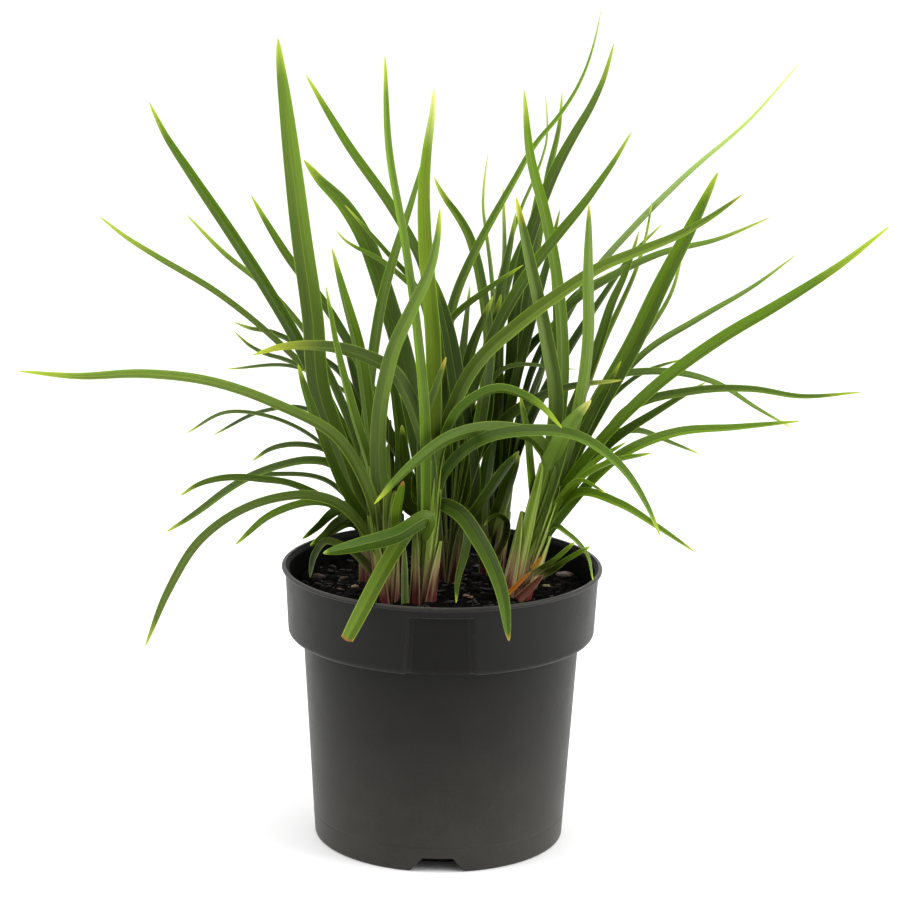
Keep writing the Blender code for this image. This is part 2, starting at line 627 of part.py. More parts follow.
def add_mesh(name, solid, material=None):
    """A mesh object from verts in millimetres and faces, with its faces pointing out."""
    verts, faces = solid
    mesh = bpy.data.meshes.new(name)
    mesh.from_pydata([tuple(MM * v for v in vert) for vert in np.asarray(verts).tolist()], [], faces)
    body = bmesh.new()
    body.from_mesh(mesh)
    bmesh.ops.recalc_face_normals(body, faces=body.faces)
    if body.calc_volume(signed=True) < 0.0:
        bmesh.ops.reverse_faces(body, faces=body.faces)
    body.to_mesh(mesh)
    body.free()
    mesh.shade_smooth()
    mesh.set_sharp_from_angle(angle=math.radians(SHARP_DEGREES))
    if material:
        mesh.materials.append(material)
    piece = bpy.data.objects.new(name, mesh)
    bpy.context.collection.objects.link(piece)
    return piece


def combine(piece, other, operation, solver="EXACT"):
    """Join or cut a piece with a helper, which stays hidden beside it."""
    other.hide_render = True
    other.display_type = "WIRE"
    step = piece.modifiers.new(other.name, "BOOLEAN")
    step.operation = operation
    step.solver = solver
    step.object = other


def arc_profile(outermost_r, centre_z, radius, first, last):
    """Points (r, z) on an arc that reaches outermost_r, from angle first to angle last in degrees."""
    angle = np.radians(np.linspace(first, last, ARC_POINTS))
    return [(outermost_r - radius + radius * math.cos(a), centre_z + radius * math.sin(a)) for a in angle]


def turned(profile, sides):
    """The closed solid of a profile (r, z) that runs from the axis round to the axis."""
    angle = np.arange(sides) * 2 * math.pi / sides
    inner = profile[1:-1]
    verts = [(r * math.cos(a), r * math.sin(a), z) for r, z in inner for a in angle]
    faces = [[sides * i + k, sides * i + (k + 1) % sides,
              sides * (i + 1) + (k + 1) % sides, sides * (i + 1) + k]
             for i in range(len(inner) - 1) for k in range(sides)]
    verts += [(0.0, 0.0, profile[0][1]), (0.0, 0.0, profile[-1][1])]
    under, over = len(verts) - 2, len(verts) - 1
    last = sides * (len(inner) - 1)
    faces += [[under, (k + 1) % sides, k] for k in range(sides)]
    faces += [[over, last + k, last + (k + 1) % sides] for k in range(sides)]
    return verts, faces


def pot_profile():
    """The pot's section, from the middle of its underside, up the outside and down the inside."""
    lip_low = LIP_HEIGHT - LIP_BAND
    outside = [(0.0, 0.0)]
    outside += arc_profile(FOOT_RADIUS, FOOT_ROUNDING, FOOT_ROUNDING, -90, 0)
    outside += [(BODY_TOP_RADIUS, COLLAR_FOOT_HEIGHT)]
    outside += arc_profile(COLLAR_FOOT_RADIUS, COLLAR_FOOT_HEIGHT + COLLAR_ROUNDING, COLLAR_ROUNDING, -90, 0)
    outside += [(COLLAR_TOP_RADIUS, lip_low)]
    outside += arc_profile(LIP_RADIUS, LIP_HEIGHT - LIP_ROUNDING, LIP_ROUNDING, -30, 90)
    inside = [(LIP_RADIUS - LIP_INSET, LIP_HEIGHT - LIP_DROP), (COLLAR_TOP_RADIUS - WALL, lip_low)]
    inside += [(COLLAR_FOOT_RADIUS - WALL, SHELF_HEIGHT + SHELF_BEVEL),
               (COLLAR_FOOT_RADIUS - WALL - SHELF_BEVEL, SHELF_HEIGHT)]
    inside += [(BODY_TOP_RADIUS - WALL, SHELF_HEIGHT)]
    inside += [(FOOT_RADIUS - WALL, FLOOR + FOOT_ROUNDING), (FOOT_RADIUS - WALL - FOOT_ROUNDING, FLOOR)]
    return outside + inside + [(0.0, FLOOR)]


def recess_cutter(facing):
    """A curved pad that sinks the label recess into the collar, open at its foot, with sloping sides."""
    slope = math.radians(RECESS_SLOPE)
    verts = []
    for z, half, end in ((RECESS_LOW, RECESS_LOW_HALF_ANGLE, -1), (RECESS_HIGH, RECESS_HIGH_HALF_ANGLE, 1)):
        angles = np.radians(np.linspace(-half, half, RECESS_COLUMNS))
        share = (z - COLLAR_FOOT_HEIGHT) / (LIP_HEIGHT - LIP_BAND - COLLAR_FOOT_HEIGHT)
        outer = COLLAR_FOOT_RADIUS + share * (COLLAR_TOP_RADIUS - COLLAR_FOOT_RADIUS)
        for radius, widen, rise in ((outer - RECESS_DEPTH, 0.0, 0.0),
                                    (outer + RECESS_OVERCUT, slope, RECESS_OVERCUT)):
            for a in angles:
                turn = facing + a + widen * a / angles[-1]
                verts.append((radius * math.sin(turn), -radius * math.cos(turn), z + end * rise))
    n = RECESS_COLUMNS
    faces = []
    for k in range(n - 1):
        low_in, low_out, high_in, high_out = (k, n + k, 2 * n + k, 3 * n + k)
        faces += [[low_in, low_in + 1, low_out + 1, low_out], [high_in, high_out, high_out + 1, high_in + 1],
                  [low_in, high_in, high_in + 1, low_in + 1], [low_out, low_out + 1, high_out + 1, high_out]]
    faces += [[0, n, 3 * n, 2 * n], [n - 1, 3 * n - 1, 4 * n - 1, 2 * n - 1]]
    return verts, faces


def drain_cutter(turn):
    """A wedge across the foot that leaves a drain notch, wider at the ground than at its top."""
    near, far = FOOT_RADIUS - DRAIN_REACH, FOOT_RADIUS + DRAIN_OVERCUT
    low, high = 0.5 * DRAIN_FOOT_WIDTH, 0.5 * DRAIN_TOP_WIDTH
    over = low + (low - high) / DRAIN_HEIGHT
    section = [(-over, -1.0), (over, -1.0), (high, DRAIN_HEIGHT), (-high, DRAIN_HEIGHT)]
    verts = []
    for reach in (near, far):
        for x, z in section:
            verts.append((x * math.cos(turn) + reach * math.sin(turn),
                          x * math.sin(turn) - reach * math.cos(turn), z))
    faces = [[3, 2, 1, 0], [4, 5, 6, 7]] + [[k, (k + 1) % 4, 4 + (k + 1) % 4, 4 + k] for k in range(4)]
    return verts, faces


def make_pot():
    pot = add_mesh("pot", turned(pot_profile(), POT_SIDES), finish("pot plastic", (0.035, 0.035, 0.034), 0.5))
    for number, facing in enumerate((0.0, math.pi), 1):
        combine(pot, add_mesh(f"recess_cutter_{number}", recess_cutter(facing)), "DIFFERENCE")
    for number in range(DRAIN_COUNT):
        turn = 2 * math.pi * number / DRAIN_COUNT
        combine(pot, add_mesh(f"drain_cutter_{number + 1}", drain_cutter(turn)), "DIFFERENCE")


def soil_top(x, y):
    """The soil's height: a broad wave with a shorter one across it."""
    long_x, long_y, short = MOUND_REACHES
    broad = MOUND_HEIGHTS[0] * math.sin(x / long_x) * math.cos(y / long_y)
    return SOIL_HEIGHT + broad + MOUND_HEIGHTS[1] * math.sin((x + y) / short)


def make_soil():
    """The growing mix fills the pot to its top, with a pocket for each shoot."""
    rim_radius = COLLAR_FOOT_RADIUS - WALL + SOIL_FLARE
    inner = [(0.0, FLOOR + GAP), (FOOT_RADIUS - WALL - FOOT_ROUNDING - 2 * GAP, FLOOR + GAP),
             (FOOT_RADIUS - WALL - 2 * GAP, FLOOR + FOOT_ROUNDING),
             (BODY_TOP_RADIUS - WALL - 2 * GAP, SHELF_HEIGHT + GAP),
             (COLLAR_FOOT_RADIUS - WALL - SHELF_BEVEL - 2 * GAP, SHELF_HEIGHT + GAP),
             (COLLAR_FOOT_RADIUS - WALL - 2 * GAP, SHELF_HEIGHT + SHELF_BEVEL + 2 * GAP),
             (rim_radius, SOIL_HEIGHT), *[(ring * rim_radius, SOIL_HEIGHT) for ring in SOIL_RINGS],
             (0.0, SOIL_HEIGHT)]
    verts, faces = turned(inner, SOIL_SIDES)
    verts = [(x, y, soil_top(x, y) if z == SOIL_HEIGHT else z) for x, y, z in verts]
    soil = add_mesh("soil", (verts, faces), finish("soil", (0.012, 0.009, 0.007), 0.95))
    for name, (foot, top, foot_radius, _) in SHOOTS.items():
        low = np.array([*foot, SOIL_HEIGHT])
        lean = (np.array(top) - low) / (top[2] - SOIL_HEIGHT)
        ends = low + np.array([[-POCKET_DEPTH], [POCKET_OVERCUT]]) * lean
        half = (foot_radius + 2 * GAP) * np.array([[SHOOT_WIDE, SHOOT_DEEP, 0.0]] * 2)
        combine(soil, add_mesh(f"pocket_{name}", loft(2, SHOOT_SIDES, half, ends)), "DIFFERENCE")


def make_shoots(leaves):
    for name in SHOOTS:
        shoot = add_mesh(f"shoot_{name}", shoot_solid(name), finish(f"shoot {name}", (0.35, 0.42, 0.16), 0.5))
        for leaf in leaves:
            if leaf.small and leaf.shoot == name:
                combine(shoot, add_mesh(leaf.name, blade(leaf)), "UNION", "MANIFOLD")
        weld = shoot.modifiers.new("weld", "WELD")
        weld.merge_threshold = WELD_REACH * MM


def make_leaves(leaves):
    for leaf in leaves:
        if not leaf.small:
            add_mesh(leaf.name, blade(leaf), finish(leaf.name, (0.09, 0.19, 0.03), 0.45))


def main():
    clear_scene()
    make_pot()
    make_soil()
    leaves = grown_leaves()
    clear_starts(leaves)
    make_shoots(leaves)
    make_leaves(leaves)


if __name__ == "__main__":
    main()
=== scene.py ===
# %% [markdown]
# # A flax lily in a nursery pot
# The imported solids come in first, because they fix where every part of the plant is. Each solid then
# gets a finer piece in its place: a blade for each leaf, wrapped sheaths for each shoot, crumbly soil
# and a moulded pot. Lengths are worked out in millimetres and become metres when a mesh is made.

# %% Load the frame
import math

import bpy
import numpy as np
from mathutils import Matrix


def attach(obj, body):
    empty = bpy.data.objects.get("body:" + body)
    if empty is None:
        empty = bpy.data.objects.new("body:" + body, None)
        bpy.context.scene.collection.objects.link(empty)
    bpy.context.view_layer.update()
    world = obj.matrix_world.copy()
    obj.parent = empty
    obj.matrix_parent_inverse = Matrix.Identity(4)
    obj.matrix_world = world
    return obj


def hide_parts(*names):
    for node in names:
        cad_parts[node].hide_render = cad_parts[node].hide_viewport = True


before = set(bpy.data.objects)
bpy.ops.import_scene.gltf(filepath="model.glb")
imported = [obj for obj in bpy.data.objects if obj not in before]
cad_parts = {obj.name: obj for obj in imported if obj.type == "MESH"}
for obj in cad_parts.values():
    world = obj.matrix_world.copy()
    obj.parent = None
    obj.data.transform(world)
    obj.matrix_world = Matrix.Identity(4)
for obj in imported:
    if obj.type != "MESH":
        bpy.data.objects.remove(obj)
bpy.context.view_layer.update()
MM = 0.001
print(len(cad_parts), "solids in the frame")

# %% [markdown]
# The leaves are placed by looking along sight lines, so the eye comes before the plant. It stands a
# metre and a half in front of the pot, a little above it, looking down about 13 degrees. One camera
# object with the same place and lens gives a picture in which every route point is where it was read.

# %% The eye and the camera
EYE = np.array([2.9, -1500.0, 546.3])
EYE_PITCH, EYE_ROLL = math.radians(13.46), math.radians(0.87)
FOCAL_PIXELS = 3300.4
FRAME_SIZE = 900.0
SENSOR = 36.0

FORWARD = np.array([0.0, math.cos(EYE_PITCH), -math.sin(EYE_PITCH)])
upright = np.array([0.0, math.sin(EYE_PITCH), math.cos(EYE_PITCH)])
level = np.array([1.0, 0.0, 0.0])
RIGHT = math.cos(EYE_ROLL) * level + math.sin(EYE_ROLL) * upright
UP = math.cos(EYE_ROLL) * upright - math.sin(EYE_ROLL) * level


def add_object(name, data):
    """An object for a mesh, a camera or a light, linked to the scene."""
    made = bpy.data.objects.new(name, data)
    bpy.context.scene.collection.objects.link(made)
    return made


def stand_at(across, up, back, place):
    """The matrix that turns an object's X, Y and Z axes to three directions and puts it at a place."""
    matrix = np.eye(4)
    matrix[:3] = np.column_stack([across, up, back, place])
    return Matrix(matrix.tolist())


camera = add_object("camera", bpy.data.cameras.new("camera"))
camera.data.sensor_width = SENSOR
camera.data.lens = FOCAL_PIXELS * SENSOR / FRAME_SIZE
camera.matrix_world = stand_at(RIGHT, UP, -FORWARD, EYE * MM)
bpy.context.scene.camera = camera
print("lens", round(camera.data.lens, 1), "mm")


# %% Sight lines
def sight_lines(pixels):
    """The direction through each pixel: forward, plus its offset in focal lengths along right and up."""
    offset = (np.asarray(pixels, float) - FRAME_SIZE / 2) / FOCAL_PIXELS
    return FORWARD + offset[:, :1] * RIGHT - offset[:, 1:] * UP


def sight_points(pixels, depths):
    """The points on the sight lines through the pixels where y is each given depth, in mm."""
    lines = sight_lines(pixels)
    reach = (np.asarray(depths) - EYE[1]) / lines[:, 1]
    return EYE + reach[:, None] * lines


def pixels_of(points):
    """A point's pixel: its parts along right and up over its part ahead, times the focal length."""
    lines = points - EYE
    ahead = lines @ FORWARD
    return np.stack([FRAME_SIZE / 2 + FOCAL_PIXELS * (lines @ RIGHT) / ahead,
                     FRAME_SIZE / 2 - FOCAL_PIXELS * (lines @ UP) / ahead], axis=-1)


print("the pot's foot is seen at pixel", np.round(pixels_of(np.zeros(3)), 1).tolist())


# %% [markdown]
# A flax lily grows as fans of leaves, each fan a shoot that stands in the soil. The shoots are given by
# their foot, top and radii. A leaf is given by its seen width, how far back its tip is, and its route
# from tip to shoot in pixels of the picture. Routes read one by one keep each leaf's own bend.

# %% Shoots and main leaves
# Shoots: foot (x, y) on the soil, top (x, y, z), radius at the foot and at the top, in millimetres
SHOOTS = {
    "front_left": ((-25, -23), (-28, -22, 166), 4.6, 6.2),
    "front_centre": ((-9, -23), (-6, -22, 176), 4.6, 5.8),
    "middle": ((3, 12), (4, 12, 170), 4.4, 5.4),
    "front_right": ((34, -14), (45, -12, 162), 6.0, 7.2),
    "side_left": ((-32, 8), (-34, 9, 168), 4.4, 5.6),
    "back_right": ((24, 31), (28, 32, 170), 4.6, 5.6),
    "back_middle": ((-5, 31), (-5, 32, 172), 4.4, 5.4),
    "side_right": ((39, 5), (50, 8, 164), 4.6, 5.6),
    "back_left": ((-23, 27), (-27, 28, 168), 4.4, 5.2),
}
# Main leaves: seen width in mm, depth of the tip in mm (more is farther back), route from tip to shoot
LEAVES = {
    "front_left": [
        (4.9, -38, [(18, 371), (77, 376), (141, 373.5), (207, 380.5), (279, 405), (337, 437), (366, 483),
            (380, 525)]),
        (5.4, -30, [(332, 248), (341, 282), (360, 352), (370, 420)]),
        (3.6, -52, [(326, 286), (336, 341), (353, 408), (374, 480)]),
        (8.0, -62, [(440, 208), (437, 240), (429, 272), (416, 300), (404, 325), (393, 350), (386, 376),
            (381, 402), (378, 440), (379, 475), (383, 505)]),
        (4.2, -70, [(145, 647), (169, 589), (199, 541), (243, 509), (280, 497), (310, 495),
            (336, 502), (364, 526)]),
        (3.5, -45, [(235, 545), (272, 514), (321, 502), (358, 520)]),
    ],
    "front_centre": [
        (4.2, 35, [(385, 55), (389, 148), (405, 242), (416, 319), (424, 400)]),
        (6.2, -40, [(253, 355), (280, 347), (310, 345), (340, 348), (366, 356), (392, 370), (408, 394),
            (420, 425), (430, 470)]),
        (6.8, -5, [(434, 88), (432, 115), (427, 150), (424, 190), (425, 240), (429, 290), (433, 340),
            (434, 383), (433, 440)]),
        (5.6, 5, [(743, 194), (712, 216), (678, 235), (636, 252), (600, 267), (570, 286), (521, 322),
            (476, 364), (446, 425)]),
        (4.6, -85, [(661, 538), (648, 507), (620, 465), (576, 435), (529, 430), (480, 440),
            (446, 470)]),
        (7.0, -92, [(347, 639), (363, 608), (384, 568), (403, 538), (418, 522)]),
        (7.4, -66, [(323, 553), (358, 545), (396, 535), (430, 520)]),
        (7.0, -98, [(509, 641), (501, 589), (479, 540), (455, 510), (438, 504)]),
        (4.6, -55, [(562, 428), (538, 403), (500, 388), (462, 406), (440, 450)]),
    ],
    "middle": [
        (5.5, 60, [(434, 177), (442, 193), (456, 213), (467, 231), (474, 250), (480, 275), (485, 305),
            (489, 344), (482, 410)]),
        (4.0, 70, [(601, 10), (596, 35), (586, 68), (573, 95), (553, 123), (533, 147), (521, 168),
            (504, 198), (487, 228), (473, 255), (461, 281), (453, 304), (447, 340), (448, 430)]),
        (4.8, 35, [(632, 131), (614, 161), (598, 184), (580, 208), (560, 232), (536, 262), (508, 306),
            (481, 365), (462, 430)]),
        (8.4, 10, [(434, 277), (447, 325), (459, 395), (466, 435), (471, 470), (470, 500)]),
    ],
    "front_right": [
        (5.6, -45, [(589, 204), (588, 271), (588, 338), (577, 414), (560, 470)]),
        (6.8, -5, [(516, 197), (531, 265), (546, 335), (556, 399), (550, 460)]),
        (5.0, -32, [(890, 226), (844, 262), (782, 302), (718, 340), (653, 388), (610, 430),
            (572, 476)]),
        (4.0, -60, [(801, 421), (735, 427), (676, 432), (620, 455), (588, 484), (564, 512)]),
        (3.3, -70, [(695, 552), (657, 526), (617, 502), (580, 492), (560, 505)]),
        (6.0, -62, [(374, 504), (409, 467), (452, 436), (495, 428), (532, 436), (552, 462)]),
        (8.0, -25, [(591, 400), (569, 425), (547, 470)]),
    ],
    "side_left": [
        (6.6, 10, [(149, 102), (166, 136), (187, 168), (233, 236), (269, 292), (297, 340), (330, 410),
            (356, 470)]),
        (9.8, -25, [(278, 38), (280, 60), (285, 100), (293, 167), (301, 233), (313, 320), (319, 387),
            (343, 455)]),
        (4.4, 50, [(426, 150), (412, 200), (394, 256), (382, 300), (375, 340), (370, 380), (366, 420)]),
        (3.9, 20, [(166, 532), (187, 519), (204, 507), (221, 494), (241, 481), (262, 471), (284, 464),
            (306, 460), (330, 463), (356, 500)]),
        (3.4, -15, [(180, 496), (197, 485), (216, 479), (240, 477), (262, 479), (286, 482), (306, 489),
            (326, 500), (350, 520)]),
    ],
    "back_right": [
        (5.4, 75, [(614, 43), (603, 80), (592, 104), (572, 138), (556, 168), (541, 204), (527, 246),
            (516, 300), (510, 380)]),
        (1.9, 135, [(801, 61), (751, 118), (687, 174), (629, 232), (591, 276), (555, 340), (522, 420)]),
        (3.2, 85, [(771, 217), (718, 239), (661, 253), (610, 277), (569, 306), (536, 360), (516, 430)]),
        (5.2, 60, [(516, 212), (511, 240), (506, 265), (500, 295), (498, 340), (497, 400)]),
    ],
    "back_middle": [
        (4.8, 85, [(251, 195), (267, 223), (287, 255), (328, 309), (364, 372), (388, 430)]),
        (5.2, 105, [(306, 75), (347, 143), (395, 212), (421, 260), (436, 330), (440, 410)]),
        (9.8, 95, [(304, 160), (320, 180), (341, 201), (356, 222), (368, 245), (378, 272), (390, 310),
            (402, 350), (415, 420)]),
    ],
    "side_right": [
        (5.8, 50, [(524, 90), (531, 159), (546, 217), (561, 312), (563, 376), (556, 440)]),
        (8.6, 35, [(718, 172), (692, 225), (661, 285), (632, 346), (606, 392), (574, 450)]),
        (2.6, 100, [(797, 254), (755, 285), (699, 318), (644, 353), (604, 400), (574, 450)]),
        (3.5, 15, [(863, 392), (799, 396), (754, 389), (690, 391), (630, 408), (594, 453)]),
        (2.8, 75, [(794, 429), (757, 408), (719, 384), (655, 371), (610, 379), (580, 430)]),
        (4.2, 25, [(706, 382), (657, 411), (608, 444), (577, 480)]),
    ],
    "back_left": [
        (3.3, 60, [(99, 216), (126, 237), (153, 254), (218, 293), (275, 339), (324, 390), (352, 450)]),
        (2.8, 90, [(186, 214), (224, 253), (268, 289), (309, 337), (330, 373), (346, 408), (362, 445)]),
        (3.1, 50, [(252, 461), (270, 449), (296, 444), (330, 452), (360, 490)]),
        (1.8, 95, [(185, 434), (227, 412), (265, 415), (316, 439), (354, 485)]),
        (3.3, 85, [(234, 322), (250, 328), (268, 331), (284, 337), (304, 348), (340, 372), (368, 440)]),
    ],
}
print(len(SHOOTS), "shoots and", sum(map(len, LEAVES.values())), "main leaves")

# %% Small and hidden leaves
# They are written the same way, and made with their shoot
SMALL_LEAVES = {
    "front_left": [
        (4.4, -40, [(403, 481), (396, 510), (392, 535)]),
        (5.0, -5, [(298, 364), (302, 378), (310, 403), (323, 436), (333, 462), (343, 485),
            (358, 510)]),
        (3.6, -44, [(310, 577), (314, 556), (324, 542), (343, 546), (358, 556)]),
    ],
    "front_centre": [
        (4.2, -30, [(446, 357), (437, 384), (424, 420), (421, 465)]),
    ],
    "middle": [
        (1.8, 100, [(488, 153), (484, 182), (483, 208), (486, 232), (490, 262), (493, 300), (490, 350),
            (476, 420)]),
        (1.4, 134, [(545, 94), (547, 118), (546, 142), (539, 166), (522, 206), (506, 256), (486, 340),
            (470, 420)]),
        (3.8, 75, [(470, 285), (462, 359), (456, 430)]),
        (4.3, 0, [(622, 380), (564, 388), (522, 406), (487, 440)]),
        (1.8, 45, [(577, 369), (500, 371), (472, 420)]),
        (3.3, -40, [(456, 603), (458, 578), (464, 556), (468, 530), (462, 505)]),
        (5.8, 26, [(493, 296), (481, 324), (471, 350), (465, 380), (464, 410), (463, 450)]),
        (6.4, 40, [(501, 294), (493, 330), (488, 370), (486, 410), (474, 455)]),
        (4.6, 4, [(519, 451), (503, 470), (484, 497), (468, 517)]),
    ],
    "front_right": [
        (2.4, -25, [(626, 442), (594, 462), (566, 492)]),
        (2.9, -42, [(651, 453), (609, 462), (582, 477), (562, 500)]),
        (1.5, -62, [(606, 493), (580, 480), (560, 496)]),
        (1.6, -55, [(593, 580), (588, 556), (567, 533), (553, 526)]),
        (2.3, -50, [(574, 542), (554, 561), (545, 568)]),
        (2.6, -45, [(590, 546), (565, 561), (550, 572)]),
        (4.0, -4, [(520, 395), (524, 415), (528, 436), (530, 458), (532, 480), (536, 510)]),
        (4.0, 10, [(533, 446), (541, 454), (547, 472)]),
    ],
    "side_left": [
        (4.2, -22, [(302, 539), (318, 526), (332, 513), (345, 506), (357, 510)]),
        (4.2, -32, [(310, 545), (324, 535), (337, 523), (348, 517), (358, 522)]),
        (2.4, -8, [(329, 535), (350, 524), (362, 528)]),
        (4.6, 30, [(318, 350), (331, 378), (343, 405), (354, 432), (364, 462)]),
    ],
    "back_right": [
        (2.4, 95, [(503, 184), (504, 261), (497, 322), (496, 400)]),
        (4.4, 105, [(562, 92), (560, 120), (556, 142), (550, 166), (545, 195), (538, 235), (530, 285),
            (522, 330), (508, 400)]),
        (2.2, 110, [(662, 224), (636, 250), (600, 300), (556, 370), (526, 430)]),
        (2.6, 90, [(612, 271), (572, 297), (550, 338), (541, 372), (533, 396), (516, 440)]),
        (4.2, 90, [(560, 209), (555, 230), (549, 256), (541, 285), (530, 325), (514, 390)]),
        (6.0, 48, [(562, 316), (539, 337), (519, 360), (505, 388), (502, 430)]),
        (6.6, 14, [(519, 455), (509, 480), (502, 503), (495, 525)]),
        (6.6, 26, [(496, 425), (489, 455), (485, 480), (483, 505), (485, 530)]),
        (2.6, 20, [(484, 526), (490, 518), (498, 515), (506, 520), (507, 532)]),
        (4.0, 120, [(540, 172), (536, 198), (530, 226), (519, 250), (510, 274), (503, 300), (499, 335),
            (497, 380)]),
    ],
    "back_middle": [
        (2.4, 70, [(345, 205), (384, 249), (416, 287), (432, 350), (436, 430)]),
        (2.6, 62, [(336, 230), (346, 241), (364, 251), (384, 262), (402, 277), (416, 290), (436, 360),
            (438, 430)]),
        (1.9, 105, [(226, 369), (296, 367), (350, 395), (395, 450)]),
        (3.2, 15, [(523, 265), (486, 290), (450, 321), (434, 380), (430, 440)]),
        (6.0, 12, [(402, 425), (406, 465), (411, 508)]),
        (5.0, 60, [(345, 345), (354, 372), (362, 402), (371, 440), (390, 475)]),
    ],
    "side_right": [
        (2.3, 110, [(686, 236), (671, 293), (639, 344), (605, 395), (572, 455)]),
        (2.6, 90, [(652, 200), (649, 220), (644, 244), (635, 272), (621, 304), (605, 338), (588, 382),
            (566, 440)]),
        (2.8, 55, [(700, 454), (673, 443), (635, 430), (602, 438), (580, 470)]),
        (4.3, 10, [(621, 361), (606, 389), (584, 430)]),
        (5.0, 60, [(551, 262), (556, 300), (558, 345), (557, 400), (552, 450)]),
        (4.4, 65, [(639, 231), (632, 254), (624, 276), (612, 302), (601, 336), (590, 368), (574, 404),
            (554, 450)]),
        (2.6, 45, [(686, 358), (644, 372), (600, 408), (566, 450)]),
    ],
    "back_left": [
        (2.4, 60, [(227, 480), (273, 474), (326, 480), (358, 505)]),
        (2.2, 90, [(213, 435), (263, 411), (304, 408), (345, 440), (370, 490)]),
        (2.4, 100, [(234, 331), (248, 344), (264, 353), (284, 359), (310, 372), (330, 400), (366, 470)]),
        (6.0, 20, [(390, 366), (397, 405), (402, 445), (399, 485)]),
    ],
}

print(sum(map(len, SMALL_LEAVES.values())), "small leaves")

# %% [markdown]
# A route has only a few points, so a smooth curve runs through them. A cubic between neighbours whose
# slope at each point is the mean of the two chords' slopes bends like a real blade and never overshoots
# far. The curve is then cut into even steps, which makes every later grid even too.

# %% Curves through route points
SOIL_HEIGHT = 119.0
ROOT_SHARE, LOW_ROOT_SHARE = 0.5, 0.1
STATIONS = 28
DENSE = 30


def chord_lengths(points):
    """The running length from the first point to each point."""
    steps = np.linalg.norm(np.diff(points, axis=0), axis=1)
    return np.concatenate([[0.0], np.cumsum(steps)])


def along_path(path, shares):
    """The points at the given shares of a path's length."""
    run = chord_lengths(path)
    return np.stack([np.interp(np.asarray(shares) * run[-1], run, path[:, k]) for k in range(3)], axis=1)


def curve_through(points, count):
    """Evenly spaced points on a cubic whose slope at a point is the mean of its two chords' slopes."""
    knots = chord_lengths(points)
    step = np.diff(knots)[:, None]
    slope = np.diff(points, axis=0) / step
    inner = (slope[:-1] * step[1:] + slope[1:] * step[:-1]) / (step[1:] + step[:-1])
    tangent = np.vstack([slope[:1], inner, slope[-1:]])
    at = np.linspace(0.0, knots[-1], DENSE * len(points))
    span = np.clip(np.searchsorted(knots, at, side="right") - 1, 0, len(points) - 2)
    wide = step[span]
    t = (at - knots[span])[:, None] / wide
    dense = ((2 * t**3 - 3 * t**2 + 1) * points[span] + (t**3 - 2 * t**2 + t) * wide * tangent[span]
             + (3 * t**2 - 2 * t**3) * points[span + 1] + (t**3 - t**2) * wide * tangent[span + 1])
    return along_path(dense, np.linspace(0.0, 1.0, count))


def shoot_axis(shoot):
    """A shoot's foot in the soil, its top, and how its axis runs for each millimetre of height."""
    foot, top = np.array([*SHOOTS[shoot][0], SOIL_HEIGHT]), np.array(SHOOTS[shoot][1])
    return foot, top, (top - foot) / (top[2] - SOIL_HEIGHT)


def leaf_path(shoot, tip_depth, route):
    """A leaf's middle line from inside its shoot to its tip: depth runs evenly along the route.

    A leaf whose route starts under the usual root is rooted lower.
    """
    foot, top, _ = shoot_axis(shoot)
    run = chord_lengths(np.asarray(route[::-1], float))
    seen = sight_points(route[::-1], top[1] + (tip_depth - top[1]) * run / run[-1])
    root = foot + ROOT_SHARE * (top - foot)
    if seen[0, 2] < root[2]:
        root = foot + LOW_ROOT_SHARE * (top - foot)
    return curve_through(np.vstack([root, seen]), STATIONS)


print("a leaf's middle line has", len(leaf_path("middle", *LEAVES["middle"][0][1:])), "points")

# %% [markdown]
# A strap leaf keeps its width for most of its length and narrows late to a long point. It is folded
# along its middle, and most leaves turn partly away, so a wide blade can look narrow. The turn that
# shows the seen width is found from the full width, which changes far less from leaf to leaf.

# %% A leaf's width and turn
FOLD = math.radians(20.0)
FULL_WIDTH, TURN_ALLOWANCE, LEAST_GAIN = 7.6, 2.5, 1.08
CUT_LEAF = "leaf_front_centre_6"
CUT_SHARE = 0.8


def taper(share):
    """Width as a share of the fullest: from 0.8 up to 1 over a quarter, times (1 - share^4.2)^0.58."""
    base = 0.8 + 0.2 * np.clip(share / 0.25, 0.0, 1.0)
    return base * (1.0 - np.clip(share, 0.0, 1.0) ** 4.2) ** 0.58


class Leaf:
    """One leaf: its path in mm, its widths in mm and how far it turns from facing the eye."""

    def __init__(self, name, shoot, seen_width, tip_depth, route):
        self.name, self.shoot, self.seen_width = name, shoot, seen_width
        self.full_width = max(LEAST_GAIN * seen_width, min(FULL_WIDTH, seen_width + TURN_ALLOWANCE))
        self.turn = math.acos(min(1.0, seen_width / (self.full_width * math.cos(FOLD))))
        self.path = leaf_path(shoot, tip_depth, route)
        self.cut = name == CUT_LEAF


leaves = [Leaf(f"{kind}_{shoot}_{number}", shoot, *row)
          for shoot in SHOOTS for kind, table in (("leaf", LEAVES), ("sprig", SMALL_LEAVES))
          for number, row in enumerate(table.get(shoot, []), 1)]
print("longest leaf", round(max(chord_lengths(leaf.path)[-1] for leaf in leaves)), "mm")

# %% [markdown]
# Leaves that cross in the picture must pass in front of or behind each other. Each crossing pair is
# pushed apart along its sight lines, a little at a time with smoothing in between, so no leaf leaves
# its place in the picture and none gets a kink. The solids were parted in the same way.

# %% Part the leaves that cross
# The gap in mm between leaves that cross, and how close two leaves in the picture count as crossing
CLEARANCE, CROSSING_MARGIN = 1.6, 0.8
ROUNDS, GAIN = 150, 0.3


